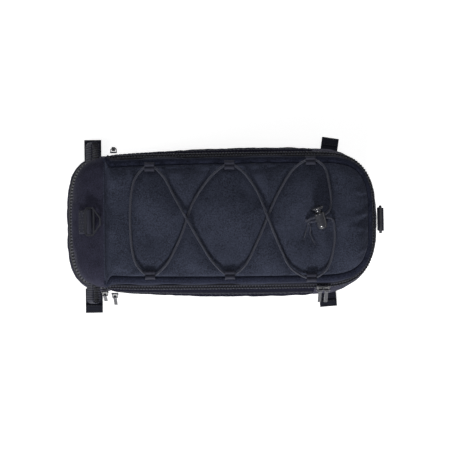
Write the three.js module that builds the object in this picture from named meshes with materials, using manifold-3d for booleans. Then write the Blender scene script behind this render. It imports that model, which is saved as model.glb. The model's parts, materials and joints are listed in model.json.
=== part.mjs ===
// A soft bag for a bicycle's rear rack, in millimetres, +X to the bag's front, +Y to its left, +Z up.
// The origin is the middle of the flat underside that rests on the rack.
import * as THREE from "three";
import { mergeVertices } from "three/addons/utils/BufferGeometryUtils.js";
import Module from "manifold-3d";

const wasm = await Module();
wasm.setup();

// ---- Driving dimensions ----

const GAP = 0.4; // between neighbouring pieces
const LEFT = 1;
const RIGHT = -1;

// The body's outline in plan at each height: half width of the sides, how far the sides belly out,
// how far the rear shoulders draw in, the front and rear ends, and how square the two ends are.
const LEVELS = [
  { z: 0, half: 70, belly: 3, shoulder: 0, front: 157, rear: 162, frontPower: 2.8, rearPower: 5 },
  { z: 8, half: 72, belly: 5, shoulder: 0, front: 161, rear: 164.5, frontPower: 2.7, rearPower: 4.5 },
  { z: 40, half: 73, belly: 7, shoulder: 0, front: 165.5, rear: 167, frontPower: 2.6, rearPower: 3.3 },
  { z: 85, half: 73.2, belly: 7.8, shoulder: 0, front: 168, rear: 167.7, frontPower: 2.6, rearPower: 3 },
  { z: 105, half: 73, belly: 5.6, shoulder: 2.5, front: 167.3, rear: 166.3, frontPower: 2.6, rearPower: 3 },
  { z: 112, half: 72.6, belly: 4.2, shoulder: 5.5, front: 166.4, rear: 163.6, frontPower: 2.7, rearPower: 3 },
  { z: 121, half: 71.8, belly: 2.8, shoulder: 9, front: 165, rear: 158.2, frontPower: 2.8, rearPower: 3 },
  { z: 128.5, half: 70.8, belly: 1.2, shoulder: 9, front: 163.2, rear: 152, frontPower: 3, rearPower: 3 },
  { z: 132, half: 69.4, belly: 0.9, shoulder: 9, front: 162, rear: 150, frontPower: 3, rearPower: 3 },
  { z: 136.3, half: 67.4, belly: 1, shoulder: 9, front: 160, rear: 148, frontPower: 3.1, rearPower: 3 },
  { z: 141, half: 65, belly: 1.5, shoulder: 9, front: 158.3, rear: 146, frontPower: 3.3, rearPower: 3 },
  { z: 144.5, half: 61.5, belly: 2, shoulder: 9, front: 156.7, rear: 144, frontPower: 3.5, rearPower: 3 },
  { z: 147, half: 57, belly: 2.5, shoulder: 9, front: 154.3, rear: 142, frontPower: 3.6, rearPower: 3 },
];
const FRONT_TURN_X = 98; // the sides end and the front's curve begins
const REAR_TURN_X = -132.7;
const BELLY_X = 40; // where the sides are widest
const BELLY_REACH = 170;
const SHOULDER_X = -112; // where the rear shoulders start to draw in
const SHOULDER_RUN = 40;

const BASE_THICKNESS = 1.6;
const BOARD_THICKNESS = 2;
const WALL_BOTTOM = BASE_THICKNESS + GAP;
const WALL_TOP = 128.5;
const WALL_INSIDE = 6; // depth of the padded walls' inner face below the outline
const POCKET_DEPTH = 2.2; // depth of the wall behind a pocket
const POCKET_SKIN = 1.8;
const LINING_THICKNESS = 0.8;
const LINING_OUTSIDE = WALL_INSIDE + 1.5 * GAP;
const SIDE_POCKET_TOP = 104;
const SIDE_ZIP_TOP = 111.6;
const REAR_POCKET_TOP = 107.6;
const REAR_ZIP_TOP = 120.4;
const REAR_PANEL_BOTTOM = 121;

const ZIP_PARTING = 132.4; // height at which the lid zip opens
const TAPE_HEIGHT = 3.5;
const TAPE_THICKNESS = 1.1;
const COIL_HEIGHT = 1.3;
const COIL_PROUD = 0.2; // how far a zip's coil stands out of the outline

const SEAM_Z = 147; // the seam round the lid's top panel
const LID_CROWN = 4.8;
const LID_CROWN_X = 10;
const HINGE_X = -120.3; // the fold along which the lid opens
const FOLD_GAP = 0.7; // from the fold to the panel on each side of it
const LID_REAR_X = HINGE_X + FOLD_GAP;
const PANEL_FRONT_X = HINGE_X - FOLD_GAP;
const LID_PANEL_THICKNESS = 1.4;
const LID_FOAM_THICKNESS = 4.2;

const WEBBING = 1.3; // thickness of one layer of webbing
const TAB_WIDTH = 25;

// ---- Materials ----

function finish(color, roughness, metalness = 0) {
  return new THREE.MeshStandardMaterial({ color, roughness, metalness });
}
const FINISH = {
  lidFabric: () => finish(0x2c2f3d, 0.85),
  bodyFabric: () => finish(0x29292f, 0.88),
  lining: () => finish(0x3a3c42, 0.8),
  foam: () => finish(0x1c1c1e, 0.95),
  board: () => finish(0x151517, 0.6),
  webbing: () => finish(0x1f2029, 0.8),
  zipTape: () => finish(0x26272f, 0.75),
  plastic: () => finish(0x0d0e12, 0.35),
  metal: () => finish(0x8f9298, 0.3, 0.9),
  blackMetal: () => finish(0x15161a, 0.3, 0.8),
  cord: () => finish(0x30323f, 0.7),
};

const bag = new THREE.Group();

// Names a geometry, gives it its finish and puts it in the bag or in one of its groups.
function addPiece(name, geometry, material, parent = bag) {
  const mesh = new THREE.Mesh(geometry, material);
  mesh.name = name;
  parent.add(mesh);
  return mesh;
}

// ---- Closed bodies ----

// A geometry from points and triangles, with its faces turned outwards.
function closedBody(points, triangles) {
  let volume = 0;
  const across = new THREE.Vector3();
  for (const [a, b, c] of triangles) {
    across.crossVectors(points[b], points[c]);
    volume += points[a].dot(across);
  }
  const index = triangles.flatMap(([a, b, c]) => (volume < 0 ? [a, c, b] : [a, b, c]));
  const geometry = new THREE.BufferGeometry().setFromPoints(points);
  geometry.setIndex(index);
  return geometry;
}

// The triangles that fill one flat section.
function capTriangles(section) {
  const normal = new THREE.Vector3();
  section.forEach((p, i) => normal.add(new THREE.Vector3().crossVectors(p, section[(i + 1) % section.length])));
  normal.normalize();
  const u = new THREE.Vector3(1, 0, 0);
  if (Math.abs(normal.x) > 0.9) u.set(0, 1, 0);
  u.addScaledVector(normal, -u.dot(normal)).normalize();
  const v = new THREE.Vector3().crossVectors(normal, u);
  const flat = section.map((p) => new THREE.Vector2(p.dot(u), p.dot(v)));
  return THREE.ShapeUtils.triangulateShape(flat, []);
}

// The triangles between each section and the next, which has the same number of points. The diagonals
// all rise along the run, so that two faces that lie against each other are split alike.
function sleeveTriangles(sections, links) {
  const count = sections[0].length;
  const triangles = [];
  for (let s = 0; s < links; s++) {
    const next = (s + 1) % sections.length;
    for (let i = 0; i < count; i++) {
      const j = (i + 1) % count;
      const [a, b, c, d] = [s * count + i, s * count + j, next * count + j, next * count + i];
      const rises = sections[s][i].z <= sections[s][j].z;
      triangles.push(...(rises ? [[a, b, c], [a, c, d]] : [[a, b, d], [b, c, d]]));
    }
  }
  return triangles;
}

// A body that passes through sections, closed by its two end sections.
function loft(sections) {
  const last = (sections.length - 1) * sections[0].length;
  const triangles = sleeveTriangles(sections, sections.length - 1);
  for (const [a, b, c] of capTriangles(sections[0])) triangles.push([a, c, b]);
  for (const [a, b, c] of capTriangles(sections[sections.length - 1])) {
    triangles.push([last + a, last + b, last + c]);
  }
  return closedBody(sections.flat(), triangles);
}

// A body whose sections go all the way round and meet again.
function ringLoft(sections) {
  return closedBody(sections.flat(), sleeveTriangles(sections, sections.length));
}

function toSolid(geometry) {
  const bare = geometry.index ? geometry.toNonIndexed() : geometry.clone();
  bare.deleteAttribute("normal");
  bare.deleteAttribute("uv");
  const merged = mergeVertices(bare, 1e-4);
  const mesh = new wasm.Mesh({
    numProp: 3,
    vertProperties: merged.attributes.position.array,
    triVerts: new Uint32Array(merged.index.array),
  });
  return new wasm.Manifold(mesh);
}

function toGeometry(solid) {
  const mesh = solid.getMesh();
  const geometry = new THREE.BufferGeometry();
  geometry.setAttribute("position", new THREE.BufferAttribute(mesh.vertProperties, 3));
  geometry.setIndex(new THREE.BufferAttribute(mesh.triVerts, 1));
  return geometry;
}

function joined(first, ...others) {
  return toGeometry(others.reduce((solid, next) => solid.add(toSolid(next)), toSolid(first)));
}

function cutBy(first, ...tools) {
  return toGeometry(tools.reduce((solid, tool) => solid.subtract(toSolid(tool)), toSolid(first)));
}

// A flat shape drawn in (first, second) coordinates and given a thickness, centred on its plane.
function slab(shape, thickness, curveSegments = 6) {
  const geometry = new THREE.ExtrudeGeometry(shape, { depth: thickness, bevelEnabled: false, curveSegments });
  return geometry.translate(0, 0, -thickness / 2);
}

// Turns a slab drawn in X and Z so that its thickness lies along Y.
function standUp(geometry) {
  return geometry.rotateX(Math.PI / 2);
}

// A round tube along a curve.
function tube(curve, radius, steps, sides = 8) {
  const section = new THREE.Shape();
  section.absarc(0, 0, radius, 0, 2 * Math.PI);
  return new THREE.ExtrudeGeometry(section, { steps, extrudePath: curve, curveSegments: sides });
}

// ---- The body's outline ----

function mix(a, b, t) {
  return a + (b - a) * t;
}

// The outline's measures at a height, between the two nearest levels.
function levelAt(z) {
  const above = LEVELS.findIndex((level) => level.z >= z);
  const high = LEVELS[above < 0 ? LEVELS.length - 1 : Math.max(above, 1)];
  const low = LEVELS[LEVELS.indexOf(high) - 1];
  const t = THREE.MathUtils.clamp((z - low.z) / (high.z - low.z), 0, 1);
  return Object.fromEntries(Object.keys(low).map((key) => [key, mix(low[key], high[key], t)]));
}

function sideAt(x, level) {
  const belly = level.belly * (1 - ((x - BELLY_X) / BELLY_REACH) ** 2);
  const drawn = THREE.MathUtils.smoothstep(SHOULDER_X - x, 0, SHOULDER_RUN);
  return level.half + belly - level.shoulder * drawn;
}

// A point of the outline at a height and a depth inside it. A station is a place along the outline:
// a side and an x on the straight sides, or an angle from the nose on the front's or rear's curve.
function outlinePoint(station, z, inset = 0) {
  const level = levelAt(z);
  if (station.angle === undefined) {
    return new THREE.Vector3(station.x, station.side * (sideAt(station.x, level) - inset), z);
  }
  const front = station.end === "front";
  const turn = front ? FRONT_TURN_X : REAR_TURN_X;
  const reach = (front ? level.front - turn : level.rear + turn) - inset;
  const power = 2 / (front ? level.frontPower : level.rearPower);
  const x = turn + (front ? 1 : -1) * reach * Math.cos(station.angle) ** power;
  const out = Math.abs(Math.sin(station.angle)) ** power;
  const y = Math.sign(station.angle) * out * (sideAt(x, level) - inset);
  return new THREE.Vector3(x, y, z);
}

// The outline's half width at x, on the sides and on both ends' curves.
function halfWidthAt(x, z, inset = 0) {
  const level = levelAt(z);
  const front = x > 0;
  const turn = front ? FRONT_TURN_X : REAR_TURN_X;
  const end = front ? level.front - inset : inset - level.rear;
  const power = front ? level.frontPower : level.rearPower;
  const along = Math.max((x - turn) / (end - turn), 0);
  return (sideAt(x, level) - inset) * Math.max(1 - along ** power, 0) ** (1 / power);
}

function sideRun(side, from, to, steps) {
  return Array.from({ length: steps + 1 }, (_, i) => ({ side, x: mix(from, to, i / steps) }));
}

// The stations strictly inside one end's curve, from the right side round to the left.
function endRun(end, steps) {
  return Array.from({ length: steps - 1 }, (_, i) => ({ end, angle: Math.PI * ((i + 1) / steps - 0.5) }));
}

const FRONT_STEPS = 16;
const REAR_STEPS = 14;
const frontCurve = [
  { side: RIGHT, x: FRONT_TURN_X },
  ...endRun("front", FRONT_STEPS),
  { side: LEFT, x: FRONT_TURN_X },
];
const rearCurve = [
  ...sideRun(LEFT, PANEL_FRONT_X, REAR_TURN_X, 2),
  ...endRun("rear", REAR_STEPS).reverse(),
  ...sideRun(RIGHT, REAR_TURN_X, PANEL_FRONT_X, 2),
];
// All round the lid: forward along the right side, round the front and back along the left side.
const lidRun = [
  ...sideRun(RIGHT, LID_REAR_X, FRONT_TURN_X, 7).slice(0, -1),
  ...frontCurve,
  ...sideRun(LEFT, FRONT_TURN_X, LID_REAR_X, 7).slice(1),
];

const wholeRun = [
  ...rearCurve,
  ...sideRun(RIGHT, PANEL_FRONT_X, FRONT_TURN_X, 5).slice(1),
  ...frontCurve.slice(1),
  ...sideRun(LEFT, FRONT_TURN_X, PANEL_FRONT_X, 5).slice(1, -1),
];

// A band that follows the outline along a run, from its profile of [inset, z] points.
function band(run, profile) {
  return loft(run.map((station) => profile.map(([inset, z]) => outlinePoint(station, z, inset))));
}

// A profile between two depths and two heights, with a point at each level that it passes.
function wallProfile(outer, inner, bottom, top) {
  const between = LEVELS.map((level) => level.z).filter((z) => z > bottom && z < top);
  const heights = [bottom, ...between, top];
  return [...heights.map((z) => [outer, z]), ...heights.reverse().map((z) => [inner, z])];
}

// A flat plate with the whole outline's shape.
function plate(bottom, top, inset) {
  return loft([bottom, top].map((z) => wholeRun.map((station) => outlinePoint(station, z, inset))));
}

// ---- Base and walls ----

function addBase() {
  const boardBottom = WALL_BOTTOM;
  const boardTop = boardBottom + BOARD_THICKNESS;
  const inset = WALL_INSIDE + GAP;
  addPiece("base_panel", plate(0, BASE_THICKNESS, 0), FINISH.bodyFabric());
  addPiece("base_board", plate(boardBottom, boardTop, inset), FINISH.board());
  const floorBottom = boardTop + GAP;
  const floorInset = LINING_OUTSIDE + LINING_THICKNESS + GAP;
  addPiece("floor_lining", plate(floorBottom, floorBottom + LINING_THICKNESS, floorInset), FINISH.lining());
}

function addWalls() {
  const wallTopInset = 4;
  const stepBottom = SIDE_ZIP_TOP + GAP;
  const stepTop = stepBottom + 1;
  const behindPocket = wallProfile(POCKET_DEPTH, WALL_INSIDE, WALL_BOTTOM, stepBottom);
  const half = behindPocket.length / 2;
  const sideProfile = [
    ...behindPocket.slice(0, half),
    [0, stepTop],
    [0, 121],
    [0, WALL_TOP],
    [wallTopInset, WALL_TOP],
    [wallTopInset, 121],
    ...behindPocket.slice(half),
  ];
  for (const side of [LEFT, RIGHT]) {
    const run = sideRun(side, LID_REAR_X, FRONT_TURN_X - GAP / 2, 8);
    addPiece(side === LEFT ? "left_wall" : "right_wall", band(run, sideProfile), FINISH.bodyFabric());
  }
  const frontRun = frontCurve.map((station) => ({ ...station }));
  frontRun[0].x += GAP / 2;
  frontRun[frontRun.length - 1].x += GAP / 2;
  addPiece("front_wall", band(frontRun, wallProfile(0, WALL_INSIDE, WALL_BOTTOM, WALL_TOP)), FINISH.bodyFabric());
  const rearProfile = wallProfile(POCKET_DEPTH, WALL_INSIDE, WALL_BOTTOM, REAR_ZIP_TOP - 1);
  addPiece("rear_wall", band(rearCurve, rearProfile), FINISH.bodyFabric());
}

// The lining is a sleeve inside the walls, open at the top, round the floor's lining at the bottom.
function addLining() {
  const bottom = WALL_BOTTOM + BOARD_THICKNESS + GAP;
  const profile = wallProfile(LINING_OUTSIDE, LINING_OUTSIDE + LINING_THICKNESS, bottom, REAR_ZIP_TOP - 2);
  const sections = wholeRun.map((station) => profile.map(([inset, z]) => outlinePoint(station, z, inset)));
  addPiece("body_lining", ringLoft(sections), FINISH.lining());
}

// ---- Pockets ----

// A closed zip along a pocket: two tapes with a raised coil between them, on the pocket's outline.
function pocketZipProfile(bottom, top) {
  const middle = (bottom + top) / 2;
  return [
    [0.3, bottom],
    [0.3, middle - COIL_HEIGHT],
    [-COIL_PROUD, middle - COIL_HEIGHT],
    [-COIL_PROUD, middle + COIL_HEIGHT],
    [0.3, middle + COIL_HEIGHT],
    [0.3, top],
    [0.3 + TAPE_THICKNESS, top],
    [0.3 + TAPE_THICKNESS, middle],
    [0.3 + TAPE_THICKNESS, bottom],
  ];
}

const SIDE_ZIP_MIDDLE = (SIDE_POCKET_TOP + SIDE_ZIP_TOP) / 2 + GAP / 2;
const REAR_ZIP_BOTTOM = REAR_POCKET_TOP + GAP;
const REAR_COIL_TOP = 115; // the upper tape of the rear pocket's zip is wider than the lower one
const REAR_ZIP_MIDDLE = (REAR_ZIP_BOTTOM + REAR_COIL_TOP) / 2;

function addPockets() {
  for (const side of [LEFT, RIGHT]) {
    const name = side === LEFT ? "left" : "right";
    const run = sideRun(side, LID_REAR_X, FRONT_TURN_X - GAP / 2, 8);
    const panel = wallProfile(0, POCKET_SKIN, WALL_BOTTOM, SIDE_POCKET_TOP);
    addPiece(name + "_pocket_panel", band(run, panel), FINISH.bodyFabric());
    const zip = pocketZipProfile(SIDE_POCKET_TOP + GAP, SIDE_ZIP_TOP);
    addPiece(name + "_pocket_zip", band(run, zip), FINISH.zipTape());
  }
  const rearPanel = wallProfile(0, POCKET_SKIN, WALL_BOTTOM, REAR_POCKET_TOP);
  addPiece("rear_pocket_panel", band(rearCurve, rearPanel), FINISH.bodyFabric());
  const rearZip = pocketZipProfile(REAR_ZIP_BOTTOM, REAR_COIL_TOP);
  const topOuter = rearZip.findIndex(([, z]) => z === REAR_COIL_TOP);
  rearZip.splice(topOuter, 2, [0.3, REAR_ZIP_TOP], [0.3 + TAPE_THICKNESS, REAR_ZIP_TOP]);
  addPiece("rear_pocket_zip", band(rearCurve, rearZip), FINISH.zipTape());
}

// ---- The fixed panel behind the lid ----

const REAR_PANEL_RISE = 28;
const REAR_PANEL_RIM = 1.5;
const REAR_PANEL_THICKNESS = 3;
const BACK_POWER = 2.4; // how squarely the panel rounds over to the rear
const SIDE_POWER = 6; // and to the sides

// The height of the rear panel above its rim, from 0 to 1: back is 0 at the fold and 1 at the rim.
function rearPanelHeight(back, out) {
  const alongBack = Math.max(1 - back ** BACK_POWER, 0);
  const alongSide = Math.max(1 - out ** SIDE_POWER, 0);
  return (alongBack * alongSide) ** (1 / BACK_POWER);
}

const rearRim = rearCurve.slice(1, -1).map((station) => outlinePoint(station, REAR_PANEL_BOTTOM));
const REAR_RIM_HALF = sideAt(PANEL_FRONT_X, levelAt(REAR_PANEL_BOTTOM));

function addRearPanel() {
  const backSteps = [1, 0.985, 0.94, 0.85, 0.7, 0.5, 0.25, 0];
  const rimTop = REAR_PANEL_BOTTOM + REAR_PANEL_RIM;
  const sections = rearRim.map((rim) => {
    const across = Math.abs(rim.y) / REAR_RIM_HALF;
    const innerAcross = Math.min(Math.abs(rim.y) / (REAR_RIM_HALF - REAR_PANEL_THICKNESS), 1);
    const innerX = Math.min(rim.x + REAR_PANEL_THICKNESS, PANEL_FRONT_X - 1);
    const top = backSteps.map((back) => {
      const x = mix(PANEL_FRONT_X, rim.x, back);
      return new THREE.Vector3(x, rim.y, rimTop + REAR_PANEL_RISE * rearPanelHeight(back, across));
    });
    const innerRise = REAR_PANEL_RISE + REAR_PANEL_RIM - REAR_PANEL_THICKNESS;
    const underside = backSteps.map((back) => {
      const x = mix(PANEL_FRONT_X, innerX, back);
      const z = REAR_PANEL_BOTTOM + innerRise * rearPanelHeight(back, innerAcross);
      return new THREE.Vector3(x, rim.y, z);
    });
    return [...top, ...underside.reverse(), new THREE.Vector3(rim.x, rim.y, REAR_PANEL_BOTTOM)];
  });
  addPiece("rear_top_panel", loft(sections), FINISH.bodyFabric());
}

// The top of the rear panel on the bag's centre line.
function rearPanelTop(x) {
  const rim = outlinePoint({ end: "rear", angle: 0 }, REAR_PANEL_BOTTOM).x;
  const back = (PANEL_FRONT_X - x) / (PANEL_FRONT_X - rim);
  return REAR_PANEL_BOTTOM + REAR_PANEL_RIM + REAR_PANEL_RISE * rearPanelHeight(back, 0);
}

// ---- Lid ----

// The top of the lid's panel: crowned across, level with the rear panel at the fold and falling to the
// seam round the front.
function lidTop(x, y) {
  const behind = x < LID_CROWN_X ? 1 - 0.27 * ((x - LID_CROWN_X) / (HINGE_X - LID_CROWN_X)) ** 2 : 1;
  const reach = levelAt(SEAM_Z).front - FRONT_TURN_X;
  const ahead = x > FRONT_TURN_X ? Math.max(1 - ((x - FRONT_TURN_X) / reach) ** 3, 0) : 1;
  const out = Math.min(Math.abs(y) / Math.max(halfWidthAt(x, SEAM_Z), 1), 1);
  return SEAM_Z + LID_CROWN * behind * ahead * (1 - out ** 3);
}

const LID_SECTIONS = [LID_REAR_X, -100, -75, -40, 0, 40, 75, FRONT_TURN_X, 112, 124, 134, 142, 148];
const ACROSS = [-1, -0.93, -0.8, -0.6, -0.3, 0, 0.3, 0.6, 0.8, 0.93, 1];

// A sheet under the lid's top, from a depth below it down to a greater one.
function lidLayer(depth, thickness, inset) {
  const nose = levelAt(SEAM_Z).front - inset;
  const xs = [...LID_SECTIONS.filter((x) => x < nose - 4), nose - 2, nose - 0.4];
  const sections = xs.map((x) => {
    const half = halfWidthAt(x, SEAM_Z, inset);
    const top = ACROSS.map((across) => new THREE.Vector3(x, across * half, lidTop(x, across * half) - depth));
    const under = [...top].reverse().map((p) => p.clone().setZ(p.z - thickness));
    return [...top, ...under];
  });
  return loft(sections);
}

function addLid() {
  const foamInset = 3.2;
  const foamDepth = LID_PANEL_THICKNESS + GAP;
  const liningDepth = foamDepth + LID_FOAM_THICKNESS + GAP;
  addPiece("lid_panel", lidLayer(0, LID_PANEL_THICKNESS, 0), FINISH.lidFabric());
  addPiece("lid_foam", lidLayer(foamDepth, LID_FOAM_THICKNESS, foamInset), FINISH.foam());
  addPiece("lid_lining", lidLayer(liningDepth, LINING_THICKNESS, foamInset), FINISH.lining());
  const gussetBottom = ZIP_PARTING + TAPE_HEIGHT + GAP + 0.2;
  const gussetTop = SEAM_Z - LID_PANEL_THICKNESS - GAP;
  addPiece("lid_gusset", band(lidRun, wallProfile(0, 2.4, gussetBottom, gussetTop)), FINISH.bodyFabric());
}

// Half of the lid's zip: a tape with its coil along the parting line, above it or below it.
function zipHalfProfile(direction) {
  const inner = 0.9;
  const coil = [-COIL_PROUD, ZIP_PARTING + direction * (0.25 + COIL_HEIGHT)];
  const shoulder = [inner, ZIP_PARTING + direction * (0.25 + COIL_HEIGHT)];
  const edge = ZIP_PARTING + direction * TAPE_HEIGHT;
  const parting = ZIP_PARTING + direction * 0.25;
  return [
    [-COIL_PROUD, parting],
    coil,
    shoulder,
    [inner, edge],
    [inner + TAPE_THICKNESS, edge],
    [inner + TAPE_THICKNESS, parting],
  ];
}

function addLidZip() {
  addPiece("body_zip", band(lidRun, zipHalfProfile(-1)), FINISH.zipTape());
  addPiece("lid_zip", band(lidRun, zipHalfProfile(1)), FINISH.zipTape());
}

// ---- Zip sliders and pulls ----

const SLIDER_LENGTH = 7.3;
const SLIDER_HEIGHT = 9;
const SLIDER_PLATE = 1.5;
const BRIDGE_HOLE = 2.4; // from the plate to the bridge's bar
const BRIDGE_BAR = 1.1;
const PULL_WIDTH = 3.6;
const PULL_EYE = 1.4; // radius of the pull's eye
const PULL_RING = 2.3;
const PULL_THICKNESS = 1.2;
const BAR_OUT = SLIDER_PLATE + BRIDGE_HOLE + BRIDGE_BAR / 2; // from the slider's inner face to its bar

// A slider's outer plate with the bridge that its pull hangs on. Its inner face is at y = 0, facing -y.
function sliderGeometry() {
  const half = SLIDER_LENGTH / 2;
  const tall = SLIDER_HEIGHT / 2;
  const corner = 1.6;
  const outline = new THREE.Shape();
  outline.moveTo(-half + corner, -tall);
  outline.lineTo(half - corner, -tall);
  outline.quadraticCurveTo(half, -tall, half, -tall + corner);
  outline.lineTo(half, tall - corner);
  outline.quadraticCurveTo(half, tall, half - corner, tall);
  outline.lineTo(-half + corner, tall);
  outline.quadraticCurveTo(-half, tall, -half, tall - corner);
  outline.lineTo(-half, -tall + corner);
  outline.quadraticCurveTo(-half, -tall, -half + corner, -tall);
  const plateBody = standUp(slab(outline, SLIDER_PLATE, 3)).translate(0, SLIDER_PLATE / 2, 0);
  const post = 0.9;
  const top = SLIDER_PLATE + BRIDGE_HOLE + BRIDGE_BAR;
  const bridge = new THREE.Shape();
  bridge.moveTo(-half + 0.2, SLIDER_PLATE - 0.3);
  bridge.lineTo(half - 0.2, SLIDER_PLATE - 0.3);
  bridge.lineTo(half - 0.2, top - 0.8);
  bridge.lineTo(half - 1, top);
  bridge.lineTo(-half + 1, top);
  bridge.lineTo(-half + 0.2, top - 0.8);
  const hole = new THREE.Path();
  const holeHalf = half - 0.2 - post;
  hole.moveTo(-holeHalf, SLIDER_PLATE + 0.1);
  hole.lineTo(-holeHalf, SLIDER_PLATE + BRIDGE_HOLE);
  hole.lineTo(holeHalf, SLIDER_PLATE + BRIDGE_HOLE);
  hole.lineTo(holeHalf, SLIDER_PLATE + 0.1);
  bridge.holes.push(hole);
  return joined(plateBody, slab(bridge, 1.8, 3));
}

// A pull: an eye round the bridge's bar, along X, and a flat tab that hangs from it.
function pullGeometry(length) {
  const half = PULL_THICKNESS / 2;
  const neck = Math.asin(half / PULL_RING);
  const side = new THREE.Shape();
  side.absarc(0, 0, PULL_RING, -Math.PI / 2 + neck, 1.5 * Math.PI - neck, false);
  side.lineTo(-half, -length + 1);
  side.quadraticCurveTo(0, -length - 0.4, half, -length + 1);
  const eye = new THREE.Path();
  eye.absarc(0, 0, PULL_EYE, 0, 2 * Math.PI, true);
  side.holes.push(eye);
  const geometry = slab(side, PULL_WIDTH, 8);
  // Drawn with its length down Y: turned so that the eye's axis is X and the tab hangs down Z.
  geometry.rotateX(Math.PI / 2);
  geometry.rotateZ(Math.PI / 2);
  return geometry;
}

// A slider and its pull on the outline: lean is the slider's tilt to the wall's slope, droop the
// pull's angle below the horizontal, and stand how far the slider's inner face is from the outline.
function addSlider(prefix, { x, z, side, out, lean, droop, pullX, pullLength }) {
  const place = new THREE.Group();
  place.position.set(x, side * out, z);
  place.rotation.set(lean, 0, side === LEFT ? 0 : Math.PI, "ZXY");
  bag.add(place);
  addPiece(prefix + "_slider", sliderGeometry(), FINISH.blackMetal(), place);
  const pull = addPiece(prefix + "_pull", pullGeometry(pullLength), FINISH.blackMetal(), place);
  pull.position.set(side * pullX, BAR_OUT, 0);
  pull.rotation.x = Math.PI / 2 - droop - lean;
}

const LID_SLIDER_LEAN = THREE.MathUtils.degToRad(22);
const PULL_DROOP = THREE.MathUtils.degToRad(48);
const LID_SLIDER_OUT = 71; // from the centre line to a lid slider's inner face
const LID_SLIDERS_X = 106.7; // where the two lid sliders meet
const LID_PULL_LENGTH = 19;

function addSliders() {
  const spacing = (SLIDER_LENGTH + GAP) / 2;
  const pullOffset = 0.5;
  const lidSlider = {
    z: ZIP_PARTING,
    side: RIGHT,
    out: LID_SLIDER_OUT,
    lean: LID_SLIDER_LEAN,
    droop: PULL_DROOP,
    pullLength: LID_PULL_LENGTH,
  };
  addSlider("lid_rear", { ...lidSlider, x: LID_SLIDERS_X - spacing, pullX: pullOffset });
  addSlider("lid_front", { ...lidSlider, x: LID_SLIDERS_X + spacing, pullX: -pullOffset });
  for (const side of [LEFT, RIGHT]) {
    addSlider(side === LEFT ? "left_pocket" : "right_pocket", {
      x: -115,
      z: SIDE_ZIP_MIDDLE,
      side,
      out: 75.6,
      lean: THREE.MathUtils.degToRad(8),
      droop: THREE.MathUtils.degToRad(side === LEFT ? 80 : 52),
      pullX: 0,
      pullLength: 14,
    });
  }
  addSlider("rear_pocket", {
    x: -125.4,
    z: REAR_ZIP_MIDDLE,
    side: RIGHT,
    out: 73.4,
    lean: THREE.MathUtils.degToRad(10),
    droop: THREE.MathUtils.degToRad(62),
    pullX: 0,
    pullLength: 14,
  });
}

// ---- D-rings ----

const RING_HALF = 15;
const RING_BAR = 1; // half thickness of a ring's bars
const RING_PIVOT_RISE = 1.7; // from the webbing's fold up to the ring's middle
const RING_ROLL_X = 6.2; // from the fold to the bar that the webbing wraps
const RING_ROLL = 2.9;
const RING_TIP = 18.6;

// The ring lies in X and Y, its nose to +X, with the fold of its webbing on the Y axis.
function ringGeometry() {
  const frame = new THREE.Shape();
  frame.moveTo(0.7, -12);
  frame.lineTo(3, -RING_HALF);
  frame.lineTo(10, -RING_HALF);
  frame.lineTo(RING_TIP, -3.4);
  frame.lineTo(RING_TIP, 3.4);
  frame.lineTo(10, RING_HALF);
  frame.lineTo(3, RING_HALF);
  frame.lineTo(0.7, 12);
  const slot = (from, to, slotHalf) => {
    const path = new THREE.Path();
    path.moveTo(from, -slotHalf);
    path.lineTo(from, slotHalf);
    path.lineTo(to, slotHalf);
    path.lineTo(to, -slotHalf);
    return path;
  };
  const eye = new THREE.Path();
  eye.moveTo(11.7, -10.2);
  eye.lineTo(11.7, 10.2);
  eye.lineTo(16.8, 3.1);
  eye.lineTo(16.8, -3.1);
  const rollHalf = 0.9;
  const slotHalf = TAB_WIDTH / 2 + GAP;
  const foldSlot = slot(2.7, RING_ROLL_X - rollHalf, slotHalf);
  const rollSlot = slot(RING_ROLL_X + rollHalf, 9.7, slotHalf + 0.2);
  frame.holes.push(foldSlot, rollSlot, eye);
  return slab(frame, 2 * RING_BAR).translate(0, 0, RING_PIVOT_RISE);
}

// The free end of the webbing: two layers from the fold at the origin, rolled round the ring's bar.
function ringWebbingGeometry() {
  const low = -2 * WEBBING + 0.1;
  const profile = new THREE.Shape();
  profile.moveTo(0.3, low);
  profile.lineTo(RING_ROLL_X - 0.5, low);
  profile.absarc(RING_ROLL_X, RING_PIVOT_RISE, RING_ROLL, -0.45 * Math.PI, 1.1 * Math.PI, false);
  profile.lineTo(3, 0.15);
  profile.lineTo(0.3, 0.15);
  const bore = new THREE.Path();
  bore.absarc(RING_ROLL_X, RING_PIVOT_RISE, 1.6, 0, 2 * Math.PI, true);
  profile.holes.push(bore);
  return standUp(slab(profile, TAB_WIDTH, 12));
}

// The sewn end of the webbing, two layers thick, from its far end to the fold at the origin.
function ringPatchGeometry(length, drop) {
  const profile = new THREE.Shape();
  const low = -2 * WEBBING;
  profile.moveTo(0, low);
  profile.lineTo(0, 0);
  profile.quadraticCurveTo(-length / 2, 0, -length, -drop);
  profile.lineTo(-length - 0.6, low - drop);
  profile.quadraticCurveTo(-length / 2, low, 0, low);
  return standUp(slab(profile, TAB_WIDTH, 4));
}

const REAR_RING_X = -141.8;
const REAR_RING_Z = rearPanelTop(REAR_RING_X) + 2 * WEBBING + 2 * GAP;
const REAR_RING_TILT = THREE.MathUtils.degToRad(-11); // it follows the panel, which rises towards the fold
const FRONT_RING_Z = 112;
const FRONT_RING_X = outlinePoint({ end: "front", angle: 0 }, FRONT_RING_Z).x + 2 * WEBBING + 1.4;
const FRONT_RING_TILT = THREE.MathUtils.degToRad(2);

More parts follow.
